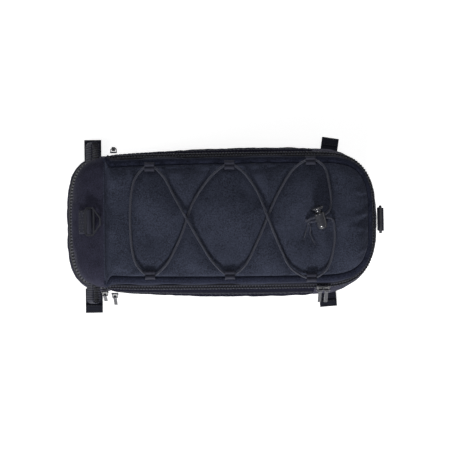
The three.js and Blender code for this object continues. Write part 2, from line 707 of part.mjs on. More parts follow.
function addRing(name, position, tilt, patchLength, patchDrop) {
  const place = new THREE.Group();
  place.position.copy(position);
  place.rotation.y = tilt;
  bag.add(place);
  addPiece(name + "_ring_patch", ringPatchGeometry(patchLength, patchDrop), FINISH.webbing(), place);
  addPiece(name + "_ring_webbing", ringWebbingGeometry(), FINISH.webbing(), place);
  addPiece(name + "_d_ring", ringGeometry(), FINISH.plastic(), place);
}

function addRings() {
  addRing("rear", new THREE.Vector3(REAR_RING_X, 0, REAR_RING_Z), REAR_RING_TILT, 6.6, 1.4);
  // The front ring hangs: its nose points down and its face points forward.
  const turned = Math.PI / 2 - FRONT_RING_TILT;
  addRing("front", new THREE.Vector3(FRONT_RING_X, 0, FRONT_RING_Z), turned, 10, -0.4);
}

// ---- Webbing pulls at the ends of the lid zip ----

const GRIP_WIDTH = 14;
const GRIP_GAP = 6.6;
const GRIP_TILT = THREE.MathUtils.degToRad(33);
const GRIP_ROOT = 58; // inside the body, where the loop is cut off along the body's side
const GRIP_END = 86;

// A loop of webbing that stands out from the side, leaning back so that it is seen from above.
function gripGeometry() {
  const inner = GRIP_GAP / 2;
  const outer = inner + WEBBING + 0.2;
  const turn = GRIP_END - outer;
  const loop = new THREE.Shape();
  loop.moveTo(-outer, GRIP_ROOT);
  loop.lineTo(-inner, GRIP_ROOT);
  loop.lineTo(-inner, turn);
  loop.absarc(0, turn, inner, Math.PI, 0, true);
  loop.lineTo(inner, GRIP_ROOT);
  loop.lineTo(outer, GRIP_ROOT);
  loop.lineTo(outer, turn);
  loop.absarc(0, turn, outer, 0, Math.PI, false);
  return slab(loop, GRIP_WIDTH, 8);
}

// The body's rear half with a gap round it, from the pocket's zip up past the grips.
function bodySide() {
  const heights = [REAR_ZIP_BOTTOM, REAR_PANEL_BOTTOM, SEAM_Z];
  const sections = heights.map((z) => {
    const outlineZ = Math.min(z, REAR_PANEL_BOTTOM);
    return wholeRun.map((station) => outlinePoint(station, outlineZ, -1.5 * GAP).setZ(z));
  });
  return loft(sections);
}

function addGrips() {
  for (const side of [LEFT, RIGHT]) {
    const loop = gripGeometry().rotateY(GRIP_TILT);
    if (side === RIGHT) loop.rotateZ(Math.PI).rotateY(2 * GRIP_TILT);
    loop.translate(-136, 0, 125.2);
    const name = side === LEFT ? "left_zip_grip" : "right_zip_grip";
    addPiece(name, cutBy(loop, bodySide()), FINISH.webbing());
  }
}

// ---- Rack straps ----

const STRAP_WIDTH = 20;
const STRAP_THICKNESS = 2.4;
const STRAP_Z = 3.4; // height of the straps' middle
const STRAPS = [
  { name: "rear_left_strap", x: -150, side: LEFT, end: 102.5, turn: 0 },
  { name: "rear_right_strap", x: -150, side: RIGHT, end: 101.5, turn: 0 },
  { name: "front_left_strap", x: 126.5, side: LEFT, end: 101, turn: 9 },
  { name: "front_right_strap", x: 123.5, side: RIGHT, end: 97.7, turn: 4 },
];

// A strap starts along the edge of the base and stands straight out, turned a little to the front.
function addStraps() {
  const half = STRAP_WIDTH / 2;
  const corner = 1;
  const rootSteps = 8;
  for (const { name, x, side, end, turn } of STRAPS) {
    const root = Array.from({ length: rootSteps + 1 }, (_, i) => {
      const rootX = x + mix(-half, half, i / rootSteps);
      return new THREE.Vector2(rootX, halfWidthAt(rootX, STRAP_Z + STRAP_THICKNESS) + GAP);
    });
    const lean = THREE.MathUtils.degToRad(turn);
    const endMiddle = new THREE.Vector2(x + (end - root[rootSteps / 2].y) * Math.tan(lean), end);
    const endPoint = (across, back) =>
      new THREE.Vector2(across, -back).rotateAround(new THREE.Vector2(), -lean).add(endMiddle);
    const points = [
      ...root,
      endPoint(half, corner),
      endPoint(half - corner, 0),
      endPoint(corner - half, 0),
      endPoint(-half, corner),
    ];
    const outline = new THREE.Shape(points.map((p) => new THREE.Vector2(p.x, side * p.y)));
    addPiece(name, slab(outline, STRAP_THICKNESS), FINISH.webbing()).position.z = STRAP_Z;
  }
}

// ---- Elastic cord, its loops and its lock ----

const CORD = 1.25; // the cord's radius
const LOOP_LENGTH = 11;
const LOOP_HOLE = [6.8, 4]; // across and up
const LOOP_WALL = 0.9;
const LOOPS = [
  { name: "rear_left_loop", x: -73.5, y: 56 },
  { name: "rear_right_loop", x: -74, y: -56 },
  { name: "middle_left_loop", x: 9.5, y: 57 },
  { name: "middle_right_loop", x: 8.5, y: -57 },
  { name: "front_left_loop", x: 94, y: 60.8 },
  { name: "front_right_loop", x: 93, y: -60.8 },
];

// The middle of a loop's hole above the lid.
function loopMiddle(x, y) {
  const innerEdge = Math.sign(y) * (Math.abs(y) - LOOP_HOLE[0] / 2 - LOOP_WALL);
  return lidTop(x, innerEdge) + GAP + LOOP_WALL + LOOP_HOLE[1] / 2;
}

function roundedBox(path, halfAcross, halfUp, corner) {
  path.moveTo(-halfAcross + corner, -halfUp);
  path.lineTo(halfAcross - corner, -halfUp);
  path.quadraticCurveTo(halfAcross, -halfUp, halfAcross, -halfUp + corner);
  path.lineTo(halfAcross, halfUp - corner);
  path.quadraticCurveTo(halfAcross, halfUp, halfAcross - corner, halfUp);
  path.lineTo(-halfAcross + corner, halfUp);
  path.quadraticCurveTo(-halfAcross, halfUp, -halfAcross, halfUp - corner);
  path.lineTo(-halfAcross, -halfUp + corner);
  path.quadraticCurveTo(-halfAcross, -halfUp, -halfAcross + corner, -halfUp);
  return path;
}

function addLoops() {
  const [across, up] = LOOP_HOLE.map((size) => size / 2);
  for (const { name, x, y } of LOOPS) {
    const ring = roundedBox(new THREE.Shape(), across + LOOP_WALL, up + LOOP_WALL, 2);
    ring.holes.push(roundedBox(new THREE.Path(), across, up, 1.2));
    // Drawn in Y and Z: its length is turned to lie along X.
    const geometry = slab(ring, LOOP_LENGTH, 3).rotateX(Math.PI / 2).rotateZ(Math.PI / 2);
    addPiece(name, geometry, FINISH.webbing()).position.set(x, y, loopMiddle(x, y));
  }
}

// The lock's barrel lies on the lid with its plunger end raised.
const LOCK_BASE = new THREE.Vector2(105.2, -9.8);
const LOCK_HEADING = Math.atan2(0.959, -0.282);
const LOCK_RISE = THREE.MathUtils.degToRad(16);
const BARREL_RADIUS = 5.4;
const BARREL_LENGTH = 17;
const BARREL_FLOOR = 1.5;
const BORE_RADIUS = 3.9;
const STEM_RADIUS = 3.5;
const STEM_END = 7;
const NECK_END = 20.4;
const CAP_TOP = 23.4;
const CAP_RADIUS = 6.4;
const CORD_HOLES = [9.5, 13.3]; // the cord's two passes through the lock, along its axis
const PRESS = 3; // the plunger's travel
const LOCK_Z = lidTop(LOCK_BASE.x, LOCK_BASE.y) + BARREL_RADIUS * Math.cos(LOCK_RISE) + GAP;

// The lock's own frame has Z along its axis, towards the cap, and X along the cord's holes.
const lockFrame = new THREE.Matrix4();
{
  const plan = new THREE.Vector3(Math.cos(LOCK_HEADING), Math.sin(LOCK_HEADING), 0);
  const axis = plan.clone().multiplyScalar(Math.cos(LOCK_RISE)).setZ(Math.sin(LOCK_RISE));
  const hole = new THREE.Vector3(plan.y, -plan.x, 0);
  lockFrame.makeBasis(hole, new THREE.Vector3().crossVectors(axis, hole), axis);
  lockFrame.setPosition(LOCK_BASE.x, LOCK_BASE.y, LOCK_Z);
}

function lathe(profile, segments = 20) {
  const points = profile.map(([r, z]) => new THREE.Vector2(r, z));
  return new THREE.LatheGeometry(points, segments).rotateX(Math.PI / 2);
}

// A slot across the lock for both passes of the cord.
function lockSlot(from, to, height, depth) {
  return new THREE.BoxGeometry(depth, height, to - from).translate(0, 0, (from + to) / 2);
}

function springGeometry(bottom, top, turns) {
  class Helix extends THREE.Curve {
    getPoint(t, target = new THREE.Vector3()) {
      const angle = 2 * Math.PI * turns * t;
      return target.set(2.7 * Math.cos(angle), 2.7 * Math.sin(angle), mix(bottom, top, t));
    }
  }
  return tube(new Helix(), 0.35, turns * 10, 3);
}

function addLock() {
  const slotFrom = CORD_HOLES[0] - CORD - 2 * GAP;
  const slotTo = CORD_HOLES[1] + CORD + 2 * GAP;
  const slotHeight = 2 * CORD + 4 * GAP;
  const barrel = cutBy(
    lathe([
      [0, 0],
      [BARREL_RADIUS - 0.8, 0],
      [BARREL_RADIUS, 0.8],
      [BARREL_RADIUS, BARREL_LENGTH - 0.5],
      [BARREL_RADIUS - 0.5, BARREL_LENGTH],
      [BORE_RADIUS, BARREL_LENGTH],
      [BORE_RADIUS, BARREL_FLOOR],
      [0, BARREL_FLOOR],
    ]),
    lockSlot(slotFrom, slotTo, slotHeight, 4 * BARREL_RADIUS),
  );
  const plunger = cutBy(
    lathe([
      [0, STEM_END],
      [STEM_RADIUS, STEM_END],
      [STEM_RADIUS, NECK_END],
      [CAP_RADIUS, CAP_TOP - 1],
      [CAP_RADIUS, CAP_TOP - 0.4],
      [CAP_RADIUS - 0.6, CAP_TOP],
      [0, CAP_TOP],
    ]),
    lockSlot(slotFrom, slotTo + PRESS, slotHeight, 4 * BARREL_RADIUS),
  );
  const spring = springGeometry(BARREL_FLOOR + 0.8, STEM_END - 0.8, 4);
  addPiece("lock_barrel", barrel.applyMatrix4(lockFrame), FINISH.plastic());
  addPiece("lock_plunger", plunger.applyMatrix4(lockFrame), FINISH.plastic());
  addPiece("lock_spring", spring.applyMatrix4(lockFrame), FINISH.metal());
}

// A point in the lock's own frame: across is measured along the cord's holes, along from the base.
function lockPoint(across, along) {
  return new THREE.Vector3(across, 0, along).applyMatrix4(lockFrame);
}

// The cord's route is a list of [x, y, height above the lid]. LYING is a stretch on the lid, NEAR one
// that rises to a loop or to a crossing, and OVER the top of a crossing.
const LYING = CORD + GAP;
const NEAR = LYING + 0.9;
const OVER = LYING + 2 * CORD + 0.7;

function throughLoop(name, outwards = 0) {
  const { x, y } = LOOPS.find((loop) => loop.name === name);
  const atY = y + Math.sign(y) * outwards;
  return [x, atY, loopMiddle(x, y) - lidTop(x, atY)];
}

function throughLock(across, along) {
  const { x, y, z } = lockPoint(across, along);
  return [x, y, z - lidTop(x, y)];
}

// Out of the lock, zigzag to the rear and back, twice over itself, and into the lock again.
const cordRoute = [
  throughLock(-8.2, CORD_HOLES[1]),
  throughLock(0, CORD_HOLES[1]),
  throughLock(6.6, CORD_HOLES[1]),
  [113.4, 12, NEAR + 3],
  [112.6, 37, LYING],
  [107.4, 55, NEAR],
  throughLoop("front_left_loop", 0.8),
  [78.3, 53.9, NEAR],
  [60.4, 28, LYING],
  [37.4, -23, LYING],
  [23.4, -48.5, NEAR],
  throughLoop("middle_right_loop", 0.8),
  [-6, -47.2, NEAR],
  [-20.4, -25.6, LYING],
  [-34.9, 0.5, OVER],
  [-48.6, 25.6, LYING],
  [-60, 46.8, NEAR],
  throughLoop("rear_left_loop", 1.2),
  [-88.2, 45, NEAR],
  [-94.2, 0, LYING],
  [-88.2, -45, NEAR],
  throughLoop("rear_right_loop", 1.2),
  [-59.6, -48.4, NEAR],
  [-42, -17, LYING],
  [-27.4, 21, LYING],
  [-4.6, 50.2, NEAR],
  throughLoop("middle_left_loop", 0.8),
  [23.6, 49.6, NEAR],
  [37.6, 29.6, LYING],
  [48.2, 2.6, OVER],
  [60.6, -28.6, LYING],
  [72.6, -51.6, NEAR],
  throughLoop("front_right_loop", 0.8),
  [108.4, -53, NEAR],
  [116.2, -31, LYING],
  [117.2, -8.6, NEAR + 1.2],
  [114.6, -1, NEAR + 3.7],
  throughLock(6.6, CORD_HOLES[0]),
  throughLock(0, CORD_HOLES[0]),
  throughLock(-8.2, CORD_HOLES[0]),
];

class CordCurve extends THREE.Curve {
  plan = new THREE.CatmullRomCurve3(
    cordRoute.map((point) => new THREE.Vector3(...point)),
    false,
    "centripetal",
  );
  getPoint(t, target = new THREE.Vector3()) {
    this.plan.getPoint(t, target);
    return target.setZ(target.z + lidTop(target.x, target.y));
  }
  // Steps follow the route's own points, which lie closest together at its bends.
  getUtoTmapping(u) {
    return u;
  }
}

function addCord() {
  const steps = 2 * (cordRoute.length - 1);
  addPiece("elastic_cord", tube(new CordCurve(), CORD, steps, 4), FINISH.cord());
}

// The cord's two ends, tied together in an overhand knot beside the lock, with their cut tails.
function addKnot() {
  const middle = lockPoint(-12.2, (CORD_HOLES[0] + CORD_HOLES[1]) / 2);
  middle.z = lidTop(middle.x, middle.y) + 5.2;
  const lump = new THREE.SphereGeometry(3.9, 10, 8).scale(1, 1.15, 0.85).translate(middle.x, middle.y, middle.z);
  const tails = [
    [-4.6, -17],
    [5.2, -22.5],
  ].map(([dx, dy]) => {
    const end = new THREE.Vector3(middle.x + dx, middle.y + dy, 0);
    end.z = lidTop(end.x, end.y) + CORD + GAP;
    const bend = new THREE.Vector3(middle.x + dx * 0.2, middle.y + dy * 0.5, end.z + 1);
    return tube(new THREE.QuadraticBezierCurve3(middle.clone(), bend, end), 1.1, 5, 2);
  });
  addPiece("cord_knot", joined(lump, ...tails), FINISH.cord());
}

addBase();
addWalls();
addLining();
addPockets();
addRearPanel();
addLid();
addLidZip();
addSliders();
addRings();
addGrips();
addStraps();
addLoops();
addLock();
addCord();
addKnot();

export default bag;
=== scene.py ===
"""The looks of a bicycle's rack trunk bag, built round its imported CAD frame. Lengths are in metres."""

import json
import math
import random

import bmesh
import bpy
import numpy as np
from mathutils import Matrix, Vector, noise
from mathutils.bvhtree import BVHTree

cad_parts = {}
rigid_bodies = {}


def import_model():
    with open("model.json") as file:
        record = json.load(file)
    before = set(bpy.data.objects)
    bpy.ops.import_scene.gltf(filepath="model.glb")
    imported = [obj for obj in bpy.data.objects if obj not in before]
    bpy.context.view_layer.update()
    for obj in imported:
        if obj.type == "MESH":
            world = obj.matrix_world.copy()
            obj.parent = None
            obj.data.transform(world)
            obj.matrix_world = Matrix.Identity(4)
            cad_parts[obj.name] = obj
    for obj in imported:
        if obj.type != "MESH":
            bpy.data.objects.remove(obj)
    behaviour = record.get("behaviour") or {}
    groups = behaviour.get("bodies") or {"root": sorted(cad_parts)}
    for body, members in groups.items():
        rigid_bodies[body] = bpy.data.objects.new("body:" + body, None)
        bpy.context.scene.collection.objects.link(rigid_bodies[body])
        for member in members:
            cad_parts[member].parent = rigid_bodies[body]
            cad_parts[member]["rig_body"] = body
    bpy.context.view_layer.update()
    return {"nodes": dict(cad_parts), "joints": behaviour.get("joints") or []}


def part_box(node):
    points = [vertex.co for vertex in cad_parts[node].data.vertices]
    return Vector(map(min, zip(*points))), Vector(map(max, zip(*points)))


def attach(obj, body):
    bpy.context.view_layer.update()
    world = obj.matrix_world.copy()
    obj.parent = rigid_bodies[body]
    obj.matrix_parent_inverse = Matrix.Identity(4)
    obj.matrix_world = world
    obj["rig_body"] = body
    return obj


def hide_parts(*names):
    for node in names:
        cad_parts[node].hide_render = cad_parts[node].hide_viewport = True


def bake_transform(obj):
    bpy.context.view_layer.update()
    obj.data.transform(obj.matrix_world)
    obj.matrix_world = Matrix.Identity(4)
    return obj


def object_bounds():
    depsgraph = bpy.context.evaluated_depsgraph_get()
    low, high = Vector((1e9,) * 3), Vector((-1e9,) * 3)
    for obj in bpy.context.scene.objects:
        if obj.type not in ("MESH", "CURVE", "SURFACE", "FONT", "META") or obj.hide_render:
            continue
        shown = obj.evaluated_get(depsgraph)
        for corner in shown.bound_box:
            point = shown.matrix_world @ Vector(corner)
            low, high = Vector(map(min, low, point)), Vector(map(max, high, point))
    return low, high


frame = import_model()
nodes = frame["nodes"]
MM = 0.001
GAP = 0.4 * MM  # the frame's gap between neighbouring pieces
LEFT, RIGHT = 1, -1
SIDE_NAMES = {LEFT: "left", RIGHT: "right"}
dice = random.Random(7)


# ---- The camera, the lights and the floor ----


def add_camera():
    data = bpy.data.cameras.new("camera")
    data.lens = 84.7
    data.sensor_width = 36
    data.shift_x = 4 / 450
    camera = bpy.data.objects.new("camera", data)
    distance = 1.25
    elevation = math.radians(88)
    roll = math.radians(-0.8)
    camera.location = (0, -distance * math.cos(elevation), distance * math.sin(elevation))
    look = (-camera.location).to_track_quat("-Z", "Y").to_matrix()
    camera.rotation_euler = (look @ Matrix.Rotation(roll, 3, "Z")).to_euler()
    bpy.context.scene.collection.objects.link(camera)
    bpy.context.scene.camera = camera


def add_light(name, place, size, watts):
    """A soft rectangular light that faces the middle of the bag."""
    data = bpy.data.lights.new(name, "AREA")
    data.shape = "RECTANGLE"
    data.size, data.size_y = size
    data.energy = watts
    light = bpy.data.objects.new(name, data)
    light.location = place
    target = Vector((0, 0, 0.1))
    light.rotation_euler = (target - Vector(place)).to_track_quat("-Z", "Y").to_euler()
    light.visible_camera = False
    bpy.context.scene.collection.objects.link(light)


def add_stage():
    """A pale floor and wall, four soft lights and a faint even light from all round."""
    bpy.context.scene.view_settings.view_transform = "Standard"
    world = bpy.data.worlds.new("studio")
    bpy.context.scene.world = world
    world.use_nodes = True
    backdrop = world.node_tree.nodes["Background"]
    backdrop.inputs["Color"].default_value = (1, 1, 1, 1)
    backdrop.inputs["Strength"].default_value = 0.15
    add_light("overhead", (0.15, 0.1, 1.8), (0.9, 0.6), 7)
    add_light("near_side", (-0.15, -1.3, 0.75), (0.45, 0.25), 21)
    add_light("far_side", (0.1, 1.3, 0.7), (0.9, 0.3), 1.5)
    add_light("rear_end", (-1.3, -0.25, 0.55), (0.3, 0.5), 3)
    floor_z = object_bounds()[0][2] - 0.3 * MM
    mesh = bpy.data.meshes.new("floor")
    reach = 3
    corners = [(-reach, -reach), (reach, -reach), (reach, reach), (-reach, reach)]
    mesh.from_pydata([(x, y, floor_z) for x, y in corners], [], [(0, 1, 2, 3)])
    floor = bpy.data.objects.new("floor", mesh)
    bpy.context.scene.collection.objects.link(floor)
    mesh.materials.append(pale("pale_floor", 0.75, 0.72))
    add_backdrop(floor_z)


def add_backdrop(floor_z):
    """A plain round wall far off, which only the camera sees."""
    radius = 2.9
    height = 4
    sides = 64
    angles = [2 * math.pi * i / sides for i in range(sides)]
    ring = [(radius * math.cos(a), radius * math.sin(a)) for a in angles]
    points = [(x, y, floor_z + z) for z in (0, height) for x, y in ring]
    mesh = bpy.data.meshes.new("backdrop")
    mesh.from_pydata(points, [], grid_faces(2, sides, closed=True))
    wall = bpy.data.objects.new("backdrop", mesh)
    bpy.context.scene.collection.objects.link(wall)
    mesh.materials.append(pale("pale_wall", 0.0, 1.0))
    for ray in ("diffuse", "glossy", "shadow", "transmission"):
        setattr(wall, "visible_" + ray, False)


def pale(name, color, glow):
    """A matt surface that glows, so it stays pale where the lights fade."""
    material = bpy.data.materials.new(name)
    material.use_nodes = True
    shader = material.node_tree.nodes["Principled BSDF"]
    shader.inputs["Base Color"].default_value = (color, color, color, 1)
    shader.inputs["Roughness"].default_value = 0.9
    shader.inputs["Specular IOR Level"].default_value = 0
    shader.inputs["Emission Color"].default_value = (1, 1, 1, 1)
    shader.inputs["Emission Strength"].default_value = glow
    return material


# ---- Materials ----


class Nodes:
    """Short calls for making a material's nodes."""

    def __init__(self, name):
        self.material = bpy.data.materials.new(name)
        self.material.use_nodes = True
        self.tree = self.material.node_tree
        self.shader = self.tree.nodes["Principled BSDF"]

    def add(self, kind, **inputs):
        node = self.tree.nodes.new("ShaderNode" + kind)
        for key, value in inputs.items():
            self.feed(node.inputs[int(key[1:]) if key[0] == "_" else key.replace("_", " ")], value)
        return node

    def feed(self, socket, value):
        if isinstance(value, bpy.types.NodeSocket):
            self.tree.links.new(value, socket)
        else:
            socket.default_value = value

    def math(self, operation, a, b=0.0):
        node = self.add("Math", _0=a, _1=b)
        node.operation = operation
        return node.outputs[0]

    def noise(self, where, scale, detail=2.0, roughness=0.5):
        node = self.add("TexNoise", Vector=where, Scale=scale, Detail=detail, Roughness=roughness)
        return node.outputs["Fac"]

    def spread(self, value, low, high, to_low=0.0, to_high=1.0):
        node = self.add("MapRange", _0=value, _1=low, _2=high, _3=to_low, _4=to_high)
        return node.outputs[0]

    def mix(self, share, a, b):
        node = self.tree.nodes.new("ShaderNodeMix")
        node.data_type = "RGBA"
        for index, value in ((0, share), (6, a), (7, b)):
            self.feed(node.inputs[index], value)
        return node.outputs[2]

    def wave(self, value, rate):
        """The sine of a value times a rate."""
        return self.math("SINE", self.math("MULTIPLY", value, rate))

    def bump(self, height, distance, strength):
        return self.add("Bump", Height=height, Distance=distance, Strength=strength).outputs["Normal"]

    def place(self):
        return self.add("TexCoord").outputs["Object"]

    def across_and_along(self):
        """U and V: metres across a band and along it, or any two ways over a cloth."""
        split = self.add("SeparateXYZ", Vector=self.add("UVMap").outputs[0])
        return split.outputs[0], split.outputs[1]

    def finish(self, **inputs):
        for key, value in inputs.items():
            self.feed(self.shader.inputs[key.replace("_", " ")], value)
        return self.material


def shade(color, factor):
    return (color[0] * factor, color[1] * factor, color[2] * factor, 1)


def woven(name, color, pitch=0.9 * MM, speckle=0.75, relief=0.16 * MM, sheen=0.05, shine=0.1):
    """Plain-weave cloth over UVs in metres: threads over and under, mottled yarn, lighter patches of painted
    light, and a soft sheen.
    """
    n = Nodes(name)
    place = n.place()
    waves = [n.wave(way, 2 * math.pi / pitch) for way in n.across_and_along()]
    crossing = n.math("MULTIPLY", *waves)
    grain = n.noise(place, 1 / (1.3 * MM), 3, 0.7)
    patches = n.noise(place, 1 / (22 * MM), 3, 0.6)
    tone = n.mix(n.spread(grain, 0.32, 0.7), shade(color, 1 - speckle), shade(color, 1 + speckle))
    # Painted light: lighter patches at random, standing in for the lit rises of the padded cloth.
    tone = n.mix(n.spread(patches, 0.42, 0.66, 0, 0.3), tone, shade(color, 1.6))
    height = n.math("ADD", n.math("MULTIPLY", crossing, 0.5), n.math("MULTIPLY", grain, 1.2))
    return n.finish(
        Base_Color=tone,
        Roughness=n.spread(grain, 0.3, 0.7, 0.75, 0.93),
        Normal=n.bump(height, relief, 0.8),
        Sheen_Weight=sheen,
        Sheen_Roughness=0.45,
        Sheen_Tint=(0.75, 0.8, 1, 1),
        Specular_IOR_Level=shine,
    )


def ribbed(name, color, pitch=1.9 * MM, across=0.9 * MM, relief=0.25 * MM, gap=0.45):
    """Webbing over UVs in metres: ribs across its length, with each rib's threads side by side."""
    n = Nodes(name)
    u, v = n.across_and_along()
    rib = n.math("ABSOLUTE", n.wave(v, math.pi / pitch))
    thread = n.wave(u, 2 * math.pi / across)
    fuzz = n.noise(n.place(), 1 / (0.7 * MM), 3, 0.6)
    # Painted shade in the grooves between the ribs, where the colour drops to its gap share, and a painted
    # highlight on their crowns.
    tone = n.mix(n.spread(rib, 0.2, 0.85), shade(color, gap), shade(color, 1.3))
    tone = n.mix(n.spread(fuzz, 0.35, 0.75, 0, 0.3), tone, shade(color, 1.7))
    height = n.math("ADD", rib, n.math("MULTIPLY", thread, 0.18))
    return n.finish(
        Base_Color=tone,
        Roughness=0.72,
        Normal=n.bump(n.math("ADD", height, n.math("MULTIPLY", fuzz, 0.4)), relief, 0.9),
        Sheen_Weight=0.02,
        Sheen_Roughness=0.4,
        Sheen_Tint=(0.8, 0.85, 1, 1),
        Specular_IOR_Level=0.15,
    )


def braided(name, color):
    """A cord's braid over UVs: U runs once round the cord, V is metres along it."""
    strand_pairs = 8
    turn = 3.4 * MM
    n = Nodes(name)
    u, v = n.across_and_along()
    round_it = n.math("MULTIPLY", u, strand_pairs * math.pi)
    along = n.math("MULTIPLY", v, strand_pairs * math.pi / (2.2 * turn))
    ways = [n.math("ABSOLUTE", n.math("SINE", n.math(way, round_it, along))) for way in ("ADD", "SUBTRACT")]
    strands = n.math("MULTIPLY", *ways)
    fuzz = n.noise(n.place(), 1 / (0.6 * MM), 2, 0.6)
    # Painted shade in the grooves between the strands and a painted highlight on their crowns.
    tone = n.mix(n.spread(strands, 0.05, 0.6), shade(color, 0.25), shade(color, 1.45))
    tone = n.mix(n.spread(fuzz, 0.4, 0.7, 0, 0.3), tone, shade(color, 1.7))
    return n.finish(
        Base_Color=tone,
        Roughness=0.5,
        Normal=n.bump(strands, 0.3 * MM, 1.0),
        Sheen_Weight=0.05,
        Sheen_Tint=(0.85, 0.88, 1, 1),
    )


def moulded(name, color, roughness, grain=0.03, coat=0.0, metallic=0.0, scale=0.6 * MM, shine=0.5):
    """Plastic or enamel: a faint uneven surface, with rubbed patches a little rougher."""
    n = Nodes(name)
    place = n.place()
    fine = n.noise(place, 1 / scale, 2, 0.5)
    rubbed = n.noise(place, 1 / (6 * MM), 3, 0.6)
    tone = n.mix(n.spread(rubbed, 0.4, 0.75, 0, 0.5), shade(color, 1), shade(color, 1.5))
    return n.finish(
        Base_Color=tone,
        Roughness=n.spread(rubbed, 0.35, 0.7, roughness, roughness + 0.14),
        Normal=n.bump(fine, grain * MM, 0.5),
        Coat_Weight=coat,
        Specular_IOR_Level=shine,
        Coat_Roughness=0.12,
        Metallic=metallic,
    )


LID_BLUE = (0.0272, 0.0312, 0.0490)
BODY_BROWN = (0.0228, 0.0225, 0.0375)
WEB_BLACK = (0.0110, 0.0118, 0.0200)
TAPE_BLACK = (0.0050, 0.0054, 0.0090)
# The body's cloth darkened by half for the side pockets and the wall strips: partly the mesh pockets' own
# darker cloth, partly painted shade on the walls.
SHADED_MESH_BLACK = (0.0098, 0.0098, 0.0170)
TAB_BLACK = (0.022, 0.023, 0.035)
GRIP_BLACK = (0.030, 0.031, 0.045)
FINISHES = {
    "lid_fabric": woven("lid_fabric", LID_BLUE),
    "body_fabric": woven("body_fabric", BODY_BROWN, speckle=0.5, relief=0.1 * MM, sheen=0.02, shine=0.05),
    "lining": woven("lining", (0.030, 0.031, 0.036), pitch=0.5 * MM, speckle=0.15, relief=0.04 * MM),
    # A darker copy of the lid's fabric: painted shade for the lid's side band.
    "shaded_lid_fabric": woven("shaded_lid_fabric", (0.0160, 0.0182, 0.0320), sheen=0.02, shine=0.05),
    "shaded_mesh_fabric": woven("shaded_mesh_fabric", SHADED_MESH_BLACK, pitch=2.6 * MM, relief=0.3 * MM, sheen=0, shine=0),
    "webbing": ribbed("webbing", WEB_BLACK),
    "loop_webbing": ribbed("loop_webbing", TAB_BLACK, pitch=1.3 * MM, across=0.8 * MM, relief=0.1 * MM),
    # The grip's ribs have deep painted shade between them (gap=0.08).
    "grip_webbing": ribbed("grip_webbing", GRIP_BLACK, 2.4 * MM, 1.1 * MM, relief=0.6 * MM, gap=0.08),
    "zip_tape": ribbed("zip_tape", TAPE_BLACK, pitch=1.1 * MM, across=0.6 * MM, relief=0.1 * MM),
    "zip_teeth": moulded("zip_teeth", (0.028, 0.030, 0.046), 0.45, grain=0.02, shine=0.3),
    "thread": moulded("thread", (0.03, 0.031, 0.038), 0.55, grain=0.05, scale=0.3 * MM),
    "ring_plastic": moulded("ring_plastic", (0.020, 0.021, 0.028), 0.38, grain=0.04, shine=0.3),
    "lock_plastic": moulded("lock_plastic", (0.022, 0.023, 0.030), 0.2, grain=0.01, coat=0.8),
    "black_metal": moulded("black_metal", (0.030, 0.031, 0.038), 0.3, grain=0.02, coat=0.4, metallic=0.4),
    "cord": braided("cord", (0.0250, 0.0280, 0.0480)),
    "steel": moulded("steel", (0.5, 0.5, 0.53), 0.25, grain=0.01, metallic=1.0),
}


# ---- Meshes ----


def add_mesh(name, points, faces, finish, uvs):
    """A mesh object from points and faces, with one UV pair for each point."""
    mesh = bpy.data.meshes.new(name)
    mesh.from_pydata([tuple(p) for p in points], [], [tuple(int(i) for i in f) for f in faces])
    layer = mesh.uv_layers.new(name="uv")
    corners = np.empty(len(mesh.loops), np.int32)
    mesh.loops.foreach_get("vertex_index", corners)
    layer.data.foreach_set("uv", np.asarray(uvs, np.float32)[corners].ravel())
    mesh.polygons.foreach_set("use_smooth", [True] * len(mesh.polygons))
    mesh.materials.append(FINISHES[finish])
    piece = bpy.data.objects.new(name, mesh)
    bpy.context.scene.collection.objects.link(piece)
    return piece


def grid_faces(rows, columns, closed=False):
    """The quads of a grid of points; a closed one's last column joins its first."""
    faces = []
    for row in range(rows - 1):
        for column in range(columns if closed else columns - 1):
            a = row * columns + column
            b = row * columns + (column + 1) % columns
            faces.append((a, b, b + columns, a + columns))
    return faces


def end_caps(rows, columns, corners):
    """The flat faces over a closed grid's first and last rows."""
    last = (rows - 1) * columns
    return [tuple(range(corners))[::-1], tuple(range(last, last + corners))]


def add_grid(name, grid, finish, uv, closed=False):
    """grid is an array [rows, columns, 3]; uv is an array [rows, columns, 2], in metres."""
    faces = grid_faces(*grid.shape[:2], closed)
    return add_mesh(name, grid.reshape(-1, 3), faces, finish, uv.reshape(-1, 2))


def joined_mesh(name, parts, finish):
    """One object from a list of (points, faces, uvs)."""
    faces, start = [], 0
    for part_points, part_faces, _ in parts:
        faces += [tuple(i + start for i in f) for f in part_faces]
        start += len(part_points)
    points, uvs = (np.concatenate([np.asarray(part[k], float) for part in parts]) for k in (0, 2))
    return add_mesh(name, points, faces, finish, uvs)


def belongs(piece, body, covers=()):
    """The piece rides on a body, and stands for the CAD nodes that it covers."""
    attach(piece, body)
    if covers:
        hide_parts(*covers)


def unit(v):
    v = np.asarray(v, float)
    return v / np.maximum(np.linalg.norm(v, axis=-1, keepdims=True), 1e-12)


def along_line(points):
    """The distance along a line at each of its points."""
    steps = np.linalg.norm(np.diff(points, axis=0), axis=1)
    return np.concatenate([[0], np.cumsum(steps)])


def placed(values, run, at):
    """A line's points, or directions along it, at given distances along it."""
    return np.stack([np.interp(at, run, values[:, k]) for k in range(3)], axis=-1)


def even(points, count):
    """A line as a number of points, evenly spread."""
    points = np.asarray(points, float)
    run = along_line(points)
    return placed(points, run, np.linspace(0, run[-1], count))


def resampled(points, spacing):
    """A line as points about one spacing apart."""
    return even(points, max(int(round(along_line(points)[-1] / spacing)), 2) + 1)


